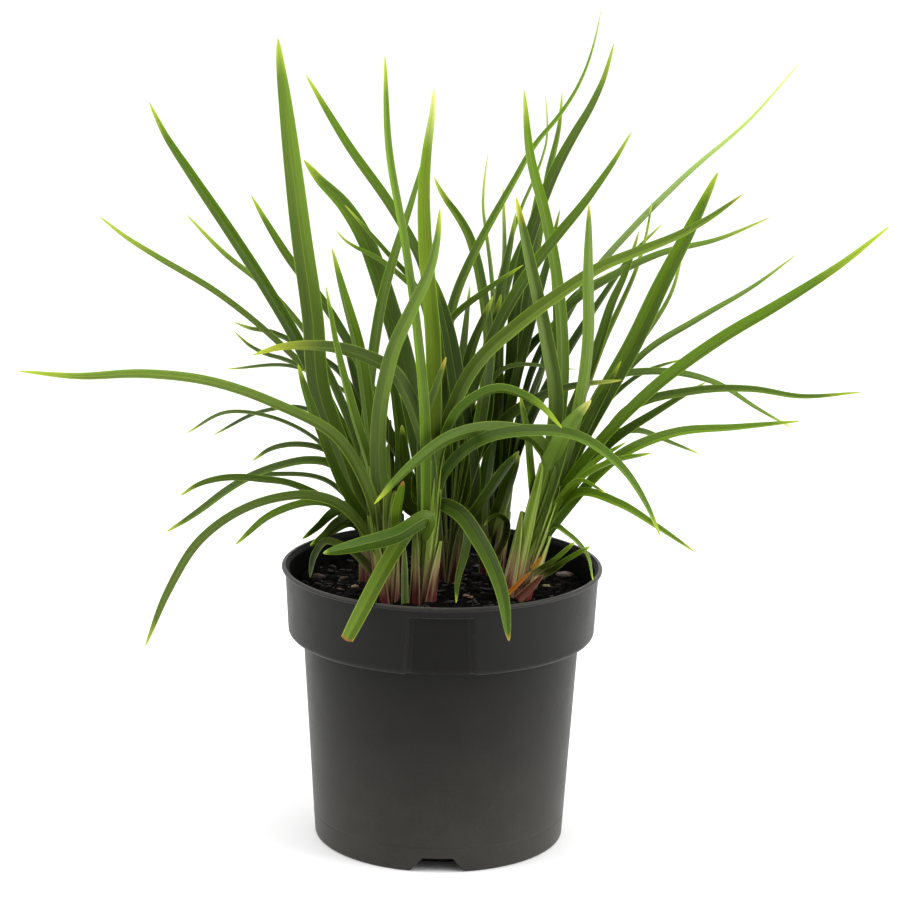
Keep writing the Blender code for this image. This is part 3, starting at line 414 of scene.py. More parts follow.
def part_leaves(leaves):
    """Move leaves along their sight lines until those that cross in the picture clear each other."""
    count = len(leaves)
    share = np.linspace(0.0, 1.0, STATIONS)
    paths = np.array([leaf.path for leaf in leaves])
    scale = np.linalg.norm(paths - EYE, axis=2) / FOCAL_PIXELS
    seen = np.concatenate([leaf.seen_width * taper(share) for leaf in leaves])
    deep = np.concatenate([leaf.full_width * (math.sin(leaf.turn) + 0.25) * taper(share)
                           for leaf in leaves])
    flat = pixels_of(paths).reshape(-1, 2)
    apart = np.linalg.norm(flat[:, None] - flat[None], axis=2) * scale.mean()
    owner = np.arange(count * STATIONS) // STATIONS
    close = apart < 0.5 * (seen[:, None] + seen[None]) + CROSSING_MARGIN
    first, second = np.nonzero(close & (owner[:, None] < owner[None]))
    need = CLEARANCE + 0.5 * (deep[first] + deep[second])
    depth = paths[:, :, 1].reshape(-1)
    pair = owner[first] * count + owner[second]
    lean = np.bincount(pair, depth[first] - depth[second], minlength=count * count)
    order = np.where(lean[pair] >= 0.0, 1.0, -1.0)
    hold = np.clip((np.arange(STATIONS) - 1) / 4.0, 0.15, 1.0)
    moved = np.zeros((count, STATIONS))
    for _ in range(ROUNDS):
        now = depth + moved.reshape(-1)
        short = np.maximum(0.0, need - order * (now[first] - now[second]))
        push, pull = np.zeros((2, count * STATIONS))
        for target, sign in ((push, 1.0), (pull, -1.0)):
            np.maximum.at(target, first, np.where(order == sign, short, 0.0))
            np.maximum.at(target, second, np.where(order == -sign, short, 0.0))
        moved += GAIN * (push - pull).reshape(count, STATIONS) * hold
        for _ in range(2):
            side = np.pad(moved, ((0, 0), (1, 1)), mode="edge")
            moved = 0.25 * side[:, :-2] + 0.5 * moved + 0.25 * side[:, 2:]
            moved[:, 0] = 0.0
    for leaf, shift, path in zip(leaves, moved, paths):
        leaf.path = sight_points(pixels_of(path), path[:, 1] + shift)
    return np.abs(moved).max()


print("leaves moved by at most", round(part_leaves(leaves), 1), "mm")

# %% [markdown]
# A blade and a sheath are both thin skins, so both are made from one recipe: a grid of points for the
# middle of the skin, and its thickness at each point. The grid is moved half the thickness to each
# side along its own normal and closed round the border. Every point also carries where it lies on the
# blade and a tint, which the materials read.

# %% Thin closed skins
def closed_skin(middle, thickness):
    """Points and quads of a closed skin round a grid: two offset grids and a strip round the border."""
    rows, cols = middle.shape[:2]
    normal = np.cross(np.gradient(middle, axis=1), np.gradient(middle, axis=0))
    normal /= np.linalg.norm(normal, axis=2, keepdims=True) + 1e-12
    skin = 0.5 * thickness[..., None] * normal
    points = np.concatenate([(middle + skin).reshape(-1, 3), (middle - skin).reshape(-1, 3)])
    index = np.arange(rows * cols).reshape(rows, cols)
    quads = np.stack([index[:-1, :-1], index[:-1, 1:], index[1:, 1:], index[1:, :-1]], axis=-1)
    quads = quads.reshape(-1, 4)
    border = np.concatenate([index[0], index[1:, -1], index[-1, -2::-1], index[-2:0:-1, 0]])
    after = np.roll(border, -1)
    strip = np.stack([border, border + rows * cols, after + rows * cols, after], axis=-1)
    return points, np.concatenate([quads, quads[:, ::-1] + rows * cols, strip])


def skin_part(middle, thickness, across, run, seed, colour, slot=0):
    """A closed skin, the place of its points (across, run, seed), their tint and its material's number."""
    points, quads = closed_skin(middle, thickness)
    spot = np.stack(np.broadcast_arrays(across, run[:, None], seed), axis=2).reshape(-1, 3)
    tint = np.ones((*middle.shape[:2], 4))
    tint[..., :3] = colour
    return points, quads, np.tile(spot, (2, 1)), np.tile(tint.reshape(-1, 4), (2, 1)), slot


sample = np.dstack([*np.meshgrid([0.0, 1.0, 2.0], [0.0, 1.0, 2.0]), np.zeros((3, 3))])
print("a grid of 9 points gives a skin of", len(closed_skin(sample, np.ones((3, 3)))[1]), "faces")


# %% Pieces made of skins
def make_piece(name, parts, materials):
    """One mesh object from parts, each of them points in mm, quads, place, tint and material number."""
    sizes = np.cumsum([0] + [len(part[0]) for part in parts])
    points = np.concatenate([part[0] for part in parts]) * MM
    quads = np.concatenate([part[1] + start for part, start in zip(parts, sizes)])
    mesh = bpy.data.meshes.new(name)
    mesh.vertices.add(len(points))
    mesh.vertices.foreach_set("co", points.reshape(-1).astype(np.float32))
    mesh.loops.add(quads.size)
    mesh.loops.foreach_set("vertex_index", quads.reshape(-1).astype(np.int32))
    mesh.polygons.add(len(quads))
    mesh.polygons.foreach_set("loop_start", np.arange(0, quads.size, 4, dtype=np.int32))
    for label, kind, width, column in (("place", "FLOAT_VECTOR", 3, 2), ("tint", "FLOAT_COLOR", 4, 3)):
        layer = mesh.attributes.new(label, kind, "POINT")
        values = np.concatenate([part[column] for part in parts]).astype(np.float32)
        layer.data.foreach_set("vector" if width == 3 else "color", values.reshape(-1))
    for material in materials:
        mesh.materials.append(material)
    numbers = np.concatenate([np.full(len(part[1]), part[4]) for part in parts])
    mesh.polygons.foreach_set("material_index", numbers.astype(np.int32))
    mesh.update(calc_edges=True)
    mesh.shade_smooth()
    return add_object(name, mesh)


def settle(piece, slot, *nodes):
    """The piece rides with the plant and stands for the named solids; its slot is not used."""
    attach(piece, "root")
    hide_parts(*nodes)


print("a piece carries a place and a tint at each point")

# %% [markdown]
# Colours were read from the real plant as screen values, which are turned into light values where they
# are used. Most leaves are mid green; some are paler, greyer or darker, one small leaf is darker with
# painted shade, and a few tips have gone yellow, orange or brown. A shoot is maroon at the soil, a pinkish
# brown above that and then yellow-green. On top of that the tints carry painted light and shade: dim low in
# the clump and at the back, lit higher up, and one half of a blade lit and the other shaded.

# %% Greens, tips and the shoot's colours
def light_values(*screen):
    """Light values of a screen colour: ((s + 0.055) / 1.055)^2.4, or s / 12.92 below 0.04."""
    s = np.asarray(screen, float) / 255.0
    return np.where(s > 0.04045, ((s + 0.055) / 1.055) ** 2.4, s / 12.92)


MAROON, BLUSH, YELLOW_GREEN = (96, 40, 44), (156, 124, 98), (102, 122, 42)
GREEN, GREY_GREEN, PALE_TIP = (84, 110, 18), (84, 104, 38), (158, 170, 52)
BROWN_TIP, YELLOW_TIP, ORANGE_TIP = (130, 78, 34), (190, 184, 48), (172, 150, 60)
# Leaves with colours of their own, and one small leaf darkened with painted shade: body, tip, and the share
# of the length where the tip starts
LEAF_TINTS = {
    "leaf_front_left_1": ((86, 105, 36), PALE_TIP, 0.86),
    "leaf_front_left_4": (GREY_GREEN, PALE_TIP, 0.92),
    "leaf_front_left_5": ((72, 90, 26), PALE_TIP, 0.92),
    "leaf_front_centre_2": ((76, 94, 38), (170, 172, 52), 0.8),
    "leaf_front_centre_3": ((98, 120, 26), (206, 210, 130), 0.87),
    "leaf_front_centre_4": ((78, 96, 26), ORANGE_TIP, 0.97),
    "leaf_front_centre_5": ((72, 96, 26), PALE_TIP, 0.93),
    "leaf_front_centre_6": ((84, 106, 24), BROWN_TIP, 0.985),
    "leaf_front_centre_7": ((60, 86, 12), (140, 150, 60), 0.965),
    "leaf_front_centre_8": ((58, 78, 14), (150, 110, 44), 0.96),
    "leaf_front_centre_9": ((68, 92, 20), (150, 168, 50), 0.84),
    "leaf_back_right_1": ((80, 102, 30), PALE_TIP, 0.9),
    "leaf_back_right_2": ((136, 160, 88), (186, 202, 96), 0.7),
    "leaf_back_right_3": ((98, 124, 44), PALE_TIP, 0.86),
    "leaf_front_right_1": ((80, 100, 34), ORANGE_TIP, 0.96),
    "leaf_front_right_2": ((78, 96, 34), YELLOW_TIP, 0.92),
    "leaf_front_right_3": ((82, 110, 14), (170, 186, 50), 0.82),
    "leaf_side_right_3": ((104, 130, 48), PALE_TIP, 0.88),
    "leaf_side_right_4": ((74, 98, 20), PALE_TIP, 0.9),
    "leaf_side_right_5": ((72, 96, 18), PALE_TIP, 0.92),
    "leaf_front_right_6": ((66, 86, 24), PALE_TIP, 0.92),
    "leaf_front_right_7": ((92, 116, 40), (200, 190, 110), 0.9),
    "leaf_side_left_1": ((66, 90, 12), PALE_TIP, 0.92),
    "leaf_side_left_2": ((84, 106, 28), PALE_TIP, 0.93),
    "leaf_back_left_1": ((96, 120, 36), PALE_TIP, 0.84),
    "leaf_back_left_2": ((100, 124, 40), PALE_TIP, 0.84),
    "leaf_back_middle_2": ((78, 104, 18), PALE_TIP, 0.92),
    "leaf_back_middle_3": ((98, 126, 34), PALE_TIP, 0.93),
    "leaf_middle_4": ((72, 96, 24), GREEN, 0.9),
    "sprig_middle_4": ((80, 104, 20), (160, 162, 70), 0.85),
    # Painted shade: this small leaf low at the front, near the soil, is darkened as if it stood in shade
    "sprig_front_left_3": ((36, 46, 18), (50, 60, 24), 0.9),
    "sprig_front_left_1": (GREEN, (150, 70, 48), 0.94),
    "sprig_front_centre_1": ((80, 98, 36), ORANGE_TIP, 0.93),
    "sprig_side_right_1": ((116, 140, 52), PALE_TIP, 0.8),
    "sprig_side_right_2": ((116, 140, 44), (170, 186, 70), 0.8),
    "sprig_middle_1": ((104, 130, 44), PALE_TIP, 0.8),
    "sprig_back_right_1": ((100, 126, 50), (180, 190, 100), 0.85),
}
# Leaves whose right half is the lit one in the painted light and shade of the halves, and the painted light
# of the shoots that have more or less of it
LIT_RIGHT_HALF = ("leaf_side_left_2", "leaf_front_left_4", "leaf_front_centre_3")
SHOOT_LIGHT = {"front_right": 1.6, "front_centre": 1.1, "middle": 0.75}
print(len(LEAF_TINTS), "leaves have tints of their own")


# %% How a tint runs along a skin
def mixed(low, high, share):
    """Each colour goes from low to high as its share goes from 0 to 1."""
    share = np.clip(share, 0.0, 1.0)[..., None]
    return (1.0 - share) * low + share * high


def smooth(share):
    """3 s^2 - 2 s^3 of a share kept between 0 and 1."""
    share = np.clip(share, 0.0, 1.0)
    return share * share * (3.0 - 2.0 * share)


# From maroon on: the next colour (the body's own comes last), where it starts and over what length, in mm
BASE_STEPS = ((BLUSH, 5.0, 11.0), (YELLOW_GREEN, 12.0, 14.0), (None, 26.0, 32.0))
# The light on a blade low down at the front, what it loses at the back, and the light high up
LOW_LIGHT, BACK_LOSS, HIGH_LIGHT = 0.74, 0.3, 1.3
# Painted light and shade: how much lighter one half of a blade is and darker the other, and how much
# lighter its tip
HALF_LIGHT, TIP_LIGHT = 0.15, 1.25


def base_tint(run, u, shade, body):
    """Maroon, blush, yellow-green and the body's green by length from the soil, in a ragged edge.

    The length is changed by 4 sin(7 u + 9 shade) + 2.5 sin(17 u + 31 shade) across the skin.
    """
    ragged = run + 4.0 * np.sin(7.0 * u + 9.0 * shade) + 2.5 * np.sin(17.0 * u + 31.0 * shade)
    tint = light_values(*MAROON)
    for colour, start, length in BASE_STEPS:
        tint = mixed(tint, body if colour is None else light_values(*colour), (ragged - start) / length)
    return tint


def blade_tint(leaf, shade, run, share):
    """Tint of a blade as rows by columns, with painted light and shade: dim low down, lit higher up, and
    one half lit and the other shaded; then the tip.

    The light rises from 60 mm up over the next 150 mm; for a shoot at the back, from 110 mm over 180 mm.
    """
    body, tip, tip_start = LEAF_TINTS.get(leaf.name, (GREEN, PALE_TIP, 0.92))
    # Painted shade low in the clump and on shoots at the back, painted light higher up
    back = np.clip((SHOOTS[leaf.shoot][0][1] + 25.0) / 60.0, 0.0, 1.0)
    low = (LOW_LIGHT - BACK_LOSS * back) * SHOOT_LIGHT.get(leaf.shoot, 1.0)
    lift = low + (HIGH_LIGHT - low) * smooth((run - 60.0 - 50.0 * back) / (150.0 + 30.0 * back))
    # Painted light and shade on the halves: one half of the blade lit, the other shaded
    lit_side = -1.0 if leaf.name in LIT_RIGHT_HALF or shade < 0.97 else 1.0
    half = 1.0 + HALF_LIGHT * lit_side * np.tanh(ACROSS / 0.07)
    run, u = np.meshgrid(run, ACROSS, indexing="ij")
    tint = base_tint(run, u, shade, light_values(*body) * shade) * (lift[:, None] * half)[..., None]
    past = (share[:, None] + 0.01 * u**2 - tip_start) / (1.0 - tip_start) * 0.9
    return mixed(tint, TIP_LIGHT * light_values(*tip), past)


at_soil = base_tint(np.zeros(1), np.zeros(1), 1.0, light_values(*GREEN))[0]
print("tint of a shoot at the soil:", np.round(at_soil, 3).tolist())

# %% [markdown]
# Each blade is a surface over two values: the share of its length and the place across it, from -1 at
# one margin to 1 at the other. Across, it is a V whose keel lies behind, deepest at the base and
# flatter outwards, with a slight twist. The lower part runs down into the shoot, where the leaves of a
# fan lie side by side, so the blades of one shoot are spread across it.

# %% Where a blade starts and which way it faces
BURIED, EASE_LENGTH = 6.0, 70.0


def blade_axes(points, turn, outward):
    """Across and face directions, turned from the eye so that the upper face looks up and inwards."""
    along = np.gradient(points, axis=0)
    along /= np.linalg.norm(along, axis=1)[:, None]
    flat = np.cross(along, points - EYE)
    flat /= np.linalg.norm(flat, axis=1)[:, None]
    towards = np.cross(flat, along)
    upper = (along @ outward)[:, None] * np.array([0.0, 0.0, 1.0]) - along[:, 2:] * outward
    turns = [turn, -turn, math.pi - turn, math.pi + turn]
    scores = [np.sum((math.cos(a) * towards - math.sin(a) * flat) * upper) for a in turns]
    return flat, towards, turns[int(np.argmax(scores))]


def spread_base(leaf, place):
    """The leaf's path down to its foot in the soil, moved sideways to its place in the fan."""
    foot, _, lean = shoot_axis(leaf.shoot)
    path = np.vstack([foot - BURIED * lean, 0.55 * foot + 0.45 * leaf.path[0], leaf.path])
    run = chord_lengths(path)
    side = np.array([*place, 0.0]) * SHOOTS[leaf.shoot][2]
    return path + smooth(1.0 - run / EASE_LENGTH)[:, None] * side, run[2] / run[-1]


print("blades start", BURIED, "mm under the soil")

# %% Blade surfaces
ACROSS = np.array([0.06, 0.16, 0.32, 0.52, 0.72, 0.87, 0.96, 1.0])
ACROSS = np.concatenate([-ACROSS[::-1], [0.0], ACROSS])
BLADE_THICKNESS, TIP_WIDTH, SPARE = 0.42, 0.2, 0.3
FEWEST_ROWS, ROW_STEP, CROWDING = 40, 4.0, 1.25
SWAY, SWAY_TURNS = math.radians(6.0), 1.3
# The fold in degrees away from the base, what the base has more, and the share of the length it takes
TIP_FOLD, BASE_FOLD, BASE_SHARE = 22.0, 20.0, 0.35
CREASE_WIDTH, RIDGE_WIDTH = 0.03, 0.08
# Leaves with a neck: the share of its width that it has at the root, and of its length until it is full
NECKED = ("leaf_front_centre_7", "leaf_front_centre_8")
NECK_WIDTH, NECK_LENGTH = 0.5, 0.3
# Leaves that narrow evenly towards the tip: width gain at the base, and the share lost by the tip
SLIM = {"leaf_middle_2": (1.25, 0.6), "leaf_front_left_4": (1.0, 0.3), "leaf_back_right_2": (1.6, 0.4),
        "leaf_front_left_1": (1.1, 0.25), "sprig_back_right_3": (1.5, 0.0),
        "leaf_side_left_1": (1.0, 0.15)}


def blade(leaf, place, shade):
    """The skin of one blade: path + across * u * half width - face * keel * (1 - |u|), u from -1 to 1.

    The keel is the half width times the tangent of the fold. Rows crowd towards the tip, the blade sways
    a few degrees as it goes, and the skin is thickest over its keel and thinnest at its margins.
    """
    path, root_at = spread_base(leaf, place)
    length = chord_lengths(path)[-1]
    rows = int(FEWEST_ROWS + length / ROW_STEP)
    t = 1.0 - (1.0 - np.linspace(0.0, 1.0, rows)) ** CROWDING
    points = along_path(curve_through(path, 240), t)
    share = (t - root_at) / (1.0 - root_at)
    outward = leaf.path[-1] - leaf.path[0]
    outward[2] = 0.0
    outward /= np.linalg.norm(outward) + 1e-9
    flat, towards, turn = blade_axes(points, leaf.turn, outward)
    sway = turn + SWAY * np.sin(2.0 * math.pi * (t * SWAY_TURNS + shade))[:, None]
    across = np.cos(sway) * flat + np.sin(sway) * towards
    face = np.cos(sway) * towards - np.sin(sway) * flat
    half = 0.5 * leaf.full_width * taper(CUT_SHARE * share if leaf.cut else share) * math.cos(FOLD)
    half *= np.clip(0.75 + t / 0.1, 0.0, 1.0) * (1.0 + SPARE / leaf.seen_width)
    gain, loss = SLIM.get(leaf.name, (1.0, 0.0))
    half *= gain * (1.0 - loss * np.clip(share, 0.0, 1.0))
    if leaf.name in NECKED:
        half *= NECK_WIDTH + (1.0 - NECK_WIDTH) * smooth(share / NECK_LENGTH)
    half = np.maximum(half, 0.5 * TIP_WIDTH)
    fold = np.tan(np.radians(TIP_FOLD + BASE_FOLD * np.clip(1.0 - t / BASE_SHARE, 0.0, 1.0)))
    crease = np.sqrt(ACROSS**2 + CREASE_WIDTH**2)
    keel = (half * fold)[:, None] * (1.0 - crease + 0.08 * np.sin(math.pi * np.clip(crease, 0.0, 1.0)))
    middle = (points[:, None] + (half[:, None] * ACROSS)[..., None] * across[:, None]
              - keel[..., None] * face[:, None])
    ridge = np.exp(-(ACROSS / RIDGE_WIDTH) ** 2)
    thick = (BLADE_THICKNESS * (0.35 + 0.65 * half / half.max())[:, None]
             * (1.0 - 0.6 * ACROSS**2 + 0.6 * ridge))
    tint = blade_tint(leaf, shade, t * length - BURIED, share)
    return skin_part(middle, thick, ACROSS, t * length * MM, shade, tint)


# %% All the blades, shoot by shoot
shade_dice = np.random.default_rng(7)
blades = {}
for shoot in SHOOTS:
    family = [leaf for leaf in leaves if leaf.shoot == shoot]
    family.sort(key=lambda leaf: along_path(leaf.path, [0.3])[0, 0])
    for rank, leaf in enumerate(family):
        side = (rank + 0.5) / len(family) * 1.7 - 0.85
        depth = 0.45 * ((rank * 2) % 5 - 2) / 2.0
        blades[leaf.name] = blade(leaf, (side, depth), shade_dice.uniform(0.86, 1.12))
print(sum(len(part[1]) for part in blades.values()), "faces in", len(blades), "blades")

# %% [markdown]
# Shader nodes are placed by a small helper: it makes a node, sets its options and fills its sockets,
# either with a value or with a link from another node. Sums, masks and raised surfaces get helpers of
# their own, so a material reads like the sentence that describes it.

# %% Node helpers
def fill(tree, node, inputs):
    """Each named socket gets its value, or a link where the value is another node's output."""
    for name, value in inputs.items():
        if isinstance(value, bpy.types.NodeSocket):
            tree.links.new(value, node.inputs[name])
        else:
            node.inputs[name].default_value = value


def add_node(tree, kind, inputs=None, **options):
    """A node with its options set and its sockets filled."""
    node = tree.nodes.new(kind)
    for name, value in options.items():
        setattr(node, name, value)
    fill(tree, node, inputs or {})
    return node


def carried(tree, name, output):
    """What the piece's points carry under a name, as a vector or a colour."""
    return add_node(tree, "ShaderNodeAttribute", attribute_name=name).outputs[output]


def sums(tree, operation, *values):
    """The result of a math node on one, two or three values."""
    return add_node(tree, "ShaderNodeMath", dict(enumerate(values)), operation=operation).outputs[0]


def ramp(tree, value, low, high, to_low=0.0, to_high=1.0):
    """A smooth step: to_low where the value is under low, to_high where it is over high."""
    return add_node(tree, "ShaderNodeMapRange", {"Value": value, "From Min": low, "From Max": high,
                                                 "To Min": to_low, "To Max": to_high},
                    interpolation_type="SMOOTHSTEP").outputs[0]


def blend_colour(tree, share, first, second):
    """One colour mixed into another by a share."""
    return add_node(tree, "ShaderNodeMix", {0: share, 6: first, 7: second}, data_type="RGBA").outputs[2]


def scaled(tree, colour, gain):
    """A colour times a number."""
    return add_node(tree, "ShaderNodeVectorMath", {0: colour, "Scale": gain}, operation="SCALE").outputs[0]


def noise(tree, vector, scale, detail=2.0, roughness=0.5):
    """Smooth noise from 0 to 1 at a place."""
    return add_node(tree, "ShaderNodeTexNoise", {"Vector": vector, "Scale": scale, "Detail": detail,
                                                 "Roughness": roughness}).outputs[0]


def raised(tree, height, strength, distance):
    """The normal of a surface that a height from 0 to 1 raises by a distance in metres."""
    return add_node(tree, "ShaderNodeBump", {"Height": height, "Strength": strength,
                                             "Distance": distance}).outputs[0]


print("nine node helpers")

# %% New groups and materials
def new_group(name, inputs, outputs):
    """A group with named inputs (name, kind, start value) and outputs: the tree, what it gets, its end."""
    tree = bpy.data.node_groups.new(name, "ShaderNodeTree")
    for label, kind, value in inputs:
        socket = tree.interface.new_socket(label, in_out="INPUT", socket_type=kind)
        if value is not None:
            socket.default_value = value
    for label, kind in outputs:
        tree.interface.new_socket(label, in_out="OUTPUT", socket_type=kind)
    return tree, tree.nodes.new("NodeGroupInput").outputs, tree.nodes.new("NodeGroupOutput")


def new_material(name):
    """A material and its Principled shader."""
    material = bpy.data.materials.new(name)
    material.use_nodes = True
    return material, material.node_tree, material.node_tree.nodes["Principled BSDF"]


print("groups and materials are made with eleven helpers in all")

# %% [markdown]
# A strap leaf has fine veins along its length, a pale crease in the middle and thin pale margins, and
# its green is never even. All of that depends on the place on the blade, so one node group reads the
# place that each point carries. The leaf and the sheath materials use it with their own values.

# %% Veins, crease and margins
veins, given, result = new_group(
    "lengthwise veins",
    [("Streaks", "NodeSocketFloat", 0.2), ("Margin Colour", "NodeSocketColor", (0.4, 0.45, 0.15, 1.0)),
     ("Margin Share", "NodeSocketFloat", 0.6), ("Margin Start", "NodeSocketFloat", 0.9)],
    [("Colour", "NodeSocketColor"), ("Roughness", "NodeSocketFloat"), ("Height", "NodeSocketFloat")])
places = add_node(veins, "ShaderNodeSeparateXYZ", {0: carried(veins, "place", "Vector")}).outputs
stretched = add_node(veins, "ShaderNodeCombineXYZ", {
    number: sums(veins, "MULTIPLY", places[number], stretch)
    for number, stretch in enumerate((9.0, 14.0, 40.0))}).outputs[0]
fine = noise(veins, stretched, 2.2, 3.0, 0.6)
broad = noise(veins, stretched, 0.35, 2.0)
edge = sums(veins, "ABSOLUTE", places[0])
uneven = sums(veins, "ADD", ramp(veins, fine, 0.3, 0.7, -1.0, 1.0),
              ramp(veins, broad, 0.25, 0.75, -1.0, 1.0))
streaked = scaled(veins, carried(veins, "tint", "Color"),
                  sums(veins, "MULTIPLY_ADD", uneven, given["Streaks"], 1.0))
creased = blend_colour(veins, ramp(veins, edge, 0.015, 0.06, 0.22, 0.0), streaked, given["Margin Colour"])
over_edge = sums(veins, "ADD", given["Margin Start"], 0.08)
margin = sums(veins, "MULTIPLY", ramp(veins, edge, given["Margin Start"], over_edge), given["Margin Share"])
fill(veins, result, {"Colour": blend_colour(veins, margin, creased, given["Margin Colour"]),
                     "Roughness": ramp(veins, broad, 0.2, 0.8, 0.4, 0.52), "Height": fine})
print("veins:", len(veins.nodes), "nodes")

# %% [markdown]
# A living leaf lets some light through, which is why a blade lit from behind glows yellow-green. A
# little subsurface light does that on a skin half a millimetre thick. The finish is satin: a weak
# gloss over veins that are raised by up to a tenth of a millimetre.

# %% Leaf and sheath materials
def blade_material(name, streaks, margin_colour, margin_share, margin_start, glow, bump):
    """A living skin: the veins group feeds colour, roughness and height; the glow is set on the shader."""
    material, tree, shader = new_material(name)
    group = add_node(tree, "ShaderNodeGroup", {
        "Streaks": streaks, "Margin Colour": (*light_values(*margin_colour), 1.0),
        "Margin Share": margin_share, "Margin Start": margin_start}, node_tree=veins).outputs
    fill(tree, shader, {"Base Color": group["Colour"], "Roughness": group["Roughness"],
                        "Normal": raised(tree, group["Height"], bump, 0.0002),
                        "Specular IOR Level": 0.13, "Subsurface Weight": glow,
                        "Subsurface Radius": (0.6, 1.0, 0.25), "Subsurface Scale": 0.0008})
    return material


LEAF = blade_material("flax lily leaf", 0.12, (150, 170, 60), 0.45, 0.9, 0.35, 0.35)
SHEATH = blade_material("leaf sheath", 0.3, (176, 178, 116), 0.32, 0.86, 0.3, 0.5)
print("blade materials:", LEAF.name, "and", SHEATH.name)

# %% The main blades
main_leaves = [leaf.name for leaf in leaves if leaf.name.startswith("leaf_")]
for name in main_leaves:
    settle(make_piece("blade" + name[4:], [blades[name]], [LEAF]), "leaf", name)
print("blades stand for", len(main_leaves), "solids")

# %% [markdown]
# A shoot is a fan of leaf bases wrapped in each other. The outer sheaths are short: each hugs the
# shoot, folded along its keel on one side, and its margins run up it almost straight and close in to a
# point only near the top. Sheaths face left and right by turns, as the leaves of a fan do. The surface
# is an angle round the shoot by a height, with the angle's span shrinking towards the point.

# %% Wrapped sheaths
SHEATH_HEIGHTS = (30.0, 42.0, 54.0, 66.0, 76.0)
SHEATH_THICKNESS = 0.5
SHEATH_ROWS, SHEATH_COLUMNS = 40, 25
# The outermost sheath's radius over the shoot's, what each next one inside it has less, and its oval
SHEATH_FIT, SHEATH_STEP, OVAL = 1.08, 0.11, (1.1, 0.9)
KEEL_HEIGHT, KEEL_WIDTH = 0.14, 0.14
STREAK = (172, 178, 106)


def sheath(shoot, order, height, shade):
    """The skin of one sheath: radius times (cos a, sin a), a from facing - span to facing + span.

    The span is 74 to 96 degrees at the soil and shrinks with height as (1 - share)^0.4. The tint is the
    shoot's with pale streaks, times the shoot's painted light, and a shoot farther back is darker with
    painted shade.
    """
    foot, top, lean = shoot_axis(shoot)
    above = -BURIED + (height + BURIED) * np.linspace(0.0, 1.0, SHEATH_ROWS)
    full = np.interp(above, [0.0, top[2] - SOIL_HEIGHT], SHOOTS[shoot][2:])
    radius = full * (SHEATH_FIT - SHEATH_STEP * order)
    facing = math.pi * (order % 2) + math.radians(34.0 * math.sin(11.0 * shade + 2.0 * order))
    widest = math.radians(96.0 - 22.0 * shade)
    span = widest * (1.0 - np.clip(above / height, 0.0, 1.0)) ** 0.4 + math.radians(2.5)
    u = np.linspace(-1.0, 1.0, SHEATH_COLUMNS)
    angle = facing + span[:, None] * u
    keel = 1.0 + KEEL_HEIGHT * np.exp(-(u / KEEL_WIDTH) ** 2)
    reach = radius[:, None] * keel
    middle = (foot + above[:, None] * lean)[:, None] + np.dstack(
        [OVAL[0] * reach * np.cos(angle), OVAL[1] * reach * np.sin(angle), np.zeros_like(reach)])
    thick = SHEATH_THICKNESS * (1.0 - 0.6 * u**2) * np.ones_like(reach)
    rise, place = np.meshgrid(above, u, indexing="ij")
    streak = np.clip(np.sin(9.0 * place + 40.0 * shade) - 0.55, 0.0, 1.0) * smooth((rise - 4.0) / 12.0)
    tint = mixed(base_tint(rise, place, shade, light_values(*GREEN)), light_values(*STREAK), 0.9 * streak)
    # Painted light and shade: the shoot's own light, and darker the farther back the shoot stands
    tint *= SHOOT_LIGHT.get(shoot, 1.0) * (1.0 - 0.6 * np.clip((foot[1] + 15.0) / 30.0, 0.0, 1.0))
    return skin_part(middle, thick, u, above * MM, shade, tint, 1)


print("a sheath has", len(sheath("middle", 0, SHEATH_HEIGHTS[0], 0.5)[1]), "faces")

# %% [markdown]
# At the foot of two shoots lie dead strips, dry and orange, and a pale scale leaf. Each is a short thin
# skin along a curve that is given by pixels and one depth, like a small leaf.

# %% Dead strips and a scale leaf
# Route in pixels, depth and width in mm, screen colour
SHREDS = {
    "front_right": [([(508, 594), (519, 583), (530, 572)], -21.6, 1.9, (196, 112, 30)),
                    ([(532, 569), (538, 562), (543, 556)], -21.0, 1.5, (186, 130, 26)),
                    ([(517, 600), (530, 588), (543, 575)], -21.2, 3.6, (122, 66, 54))],
    "front_left": [([(405, 605), (404.5, 575), (404.5, 545)], -29.0, 3.0, (104, 124, 62))],
}
SHRED_THICKNESS = 0.35


def shred(pixels, depth, width, colour):
    """The skin of a strip along a curve: width * (1 - s^3)^0.7, thin, with both margins bent back."""
    seen = sight_points(pixels, np.full(len(pixels), depth))
    points = curve_through(seen, 20)
    s = np.linspace(0.0, 1.0, len(points))
    flat, towards, _ = blade_axes(points, 0.0, np.array([0.0, 1.0, 0.0]))
    u = np.linspace(-1.0, 1.0, 7)
    half = 0.5 * width * (1.0 - s**3) ** 0.7 + 0.08
    middle = (points[:, None] + (half[:, None] * u)[..., None] * flat[:, None]
              - (0.5 * half[:, None] * u**2)[..., None] * towards[:, None])
    thick = np.full(middle.shape[:2], SHRED_THICKNESS)
    return skin_part(middle, thick, u, s * width * 0.01, 0.3, light_values(*colour), 1)


print(sum(len(rows) for rows in SHREDS.values()), "strips and scale leaves")

# %% Shoots with their sheaths, strips and small leaves
for shoot in SHOOTS:
    parts = [blades[leaf.name] for leaf in leaves if leaf.shoot == shoot and leaf.name.startswith("sprig_")]
    parts += [sheath(shoot, order, height, shade_dice.uniform(0.0, 1.0))
              for order, height in enumerate(SHEATH_HEIGHTS)]
    parts += [shred(*row) for row in SHREDS.get(shoot, [])]
    settle(make_piece(f"sheaths_{shoot}", parts, [LEAF, SHEATH]), "sheath", f"shoot_{shoot}")
print(len(SHEATH_HEIGHTS) * len(SHOOTS), "sheaths")

# %% [markdown]
# The pot is one moulding, so it is one surface: its section, from the middle of the underside up the
# outside and down the inside, carried round the axis. The label recesses are part of the same surface:
# in their windows the section is drawn in by almost two millimetres. The drain notches go right through
# the foot, so they are cut from the finished surface.

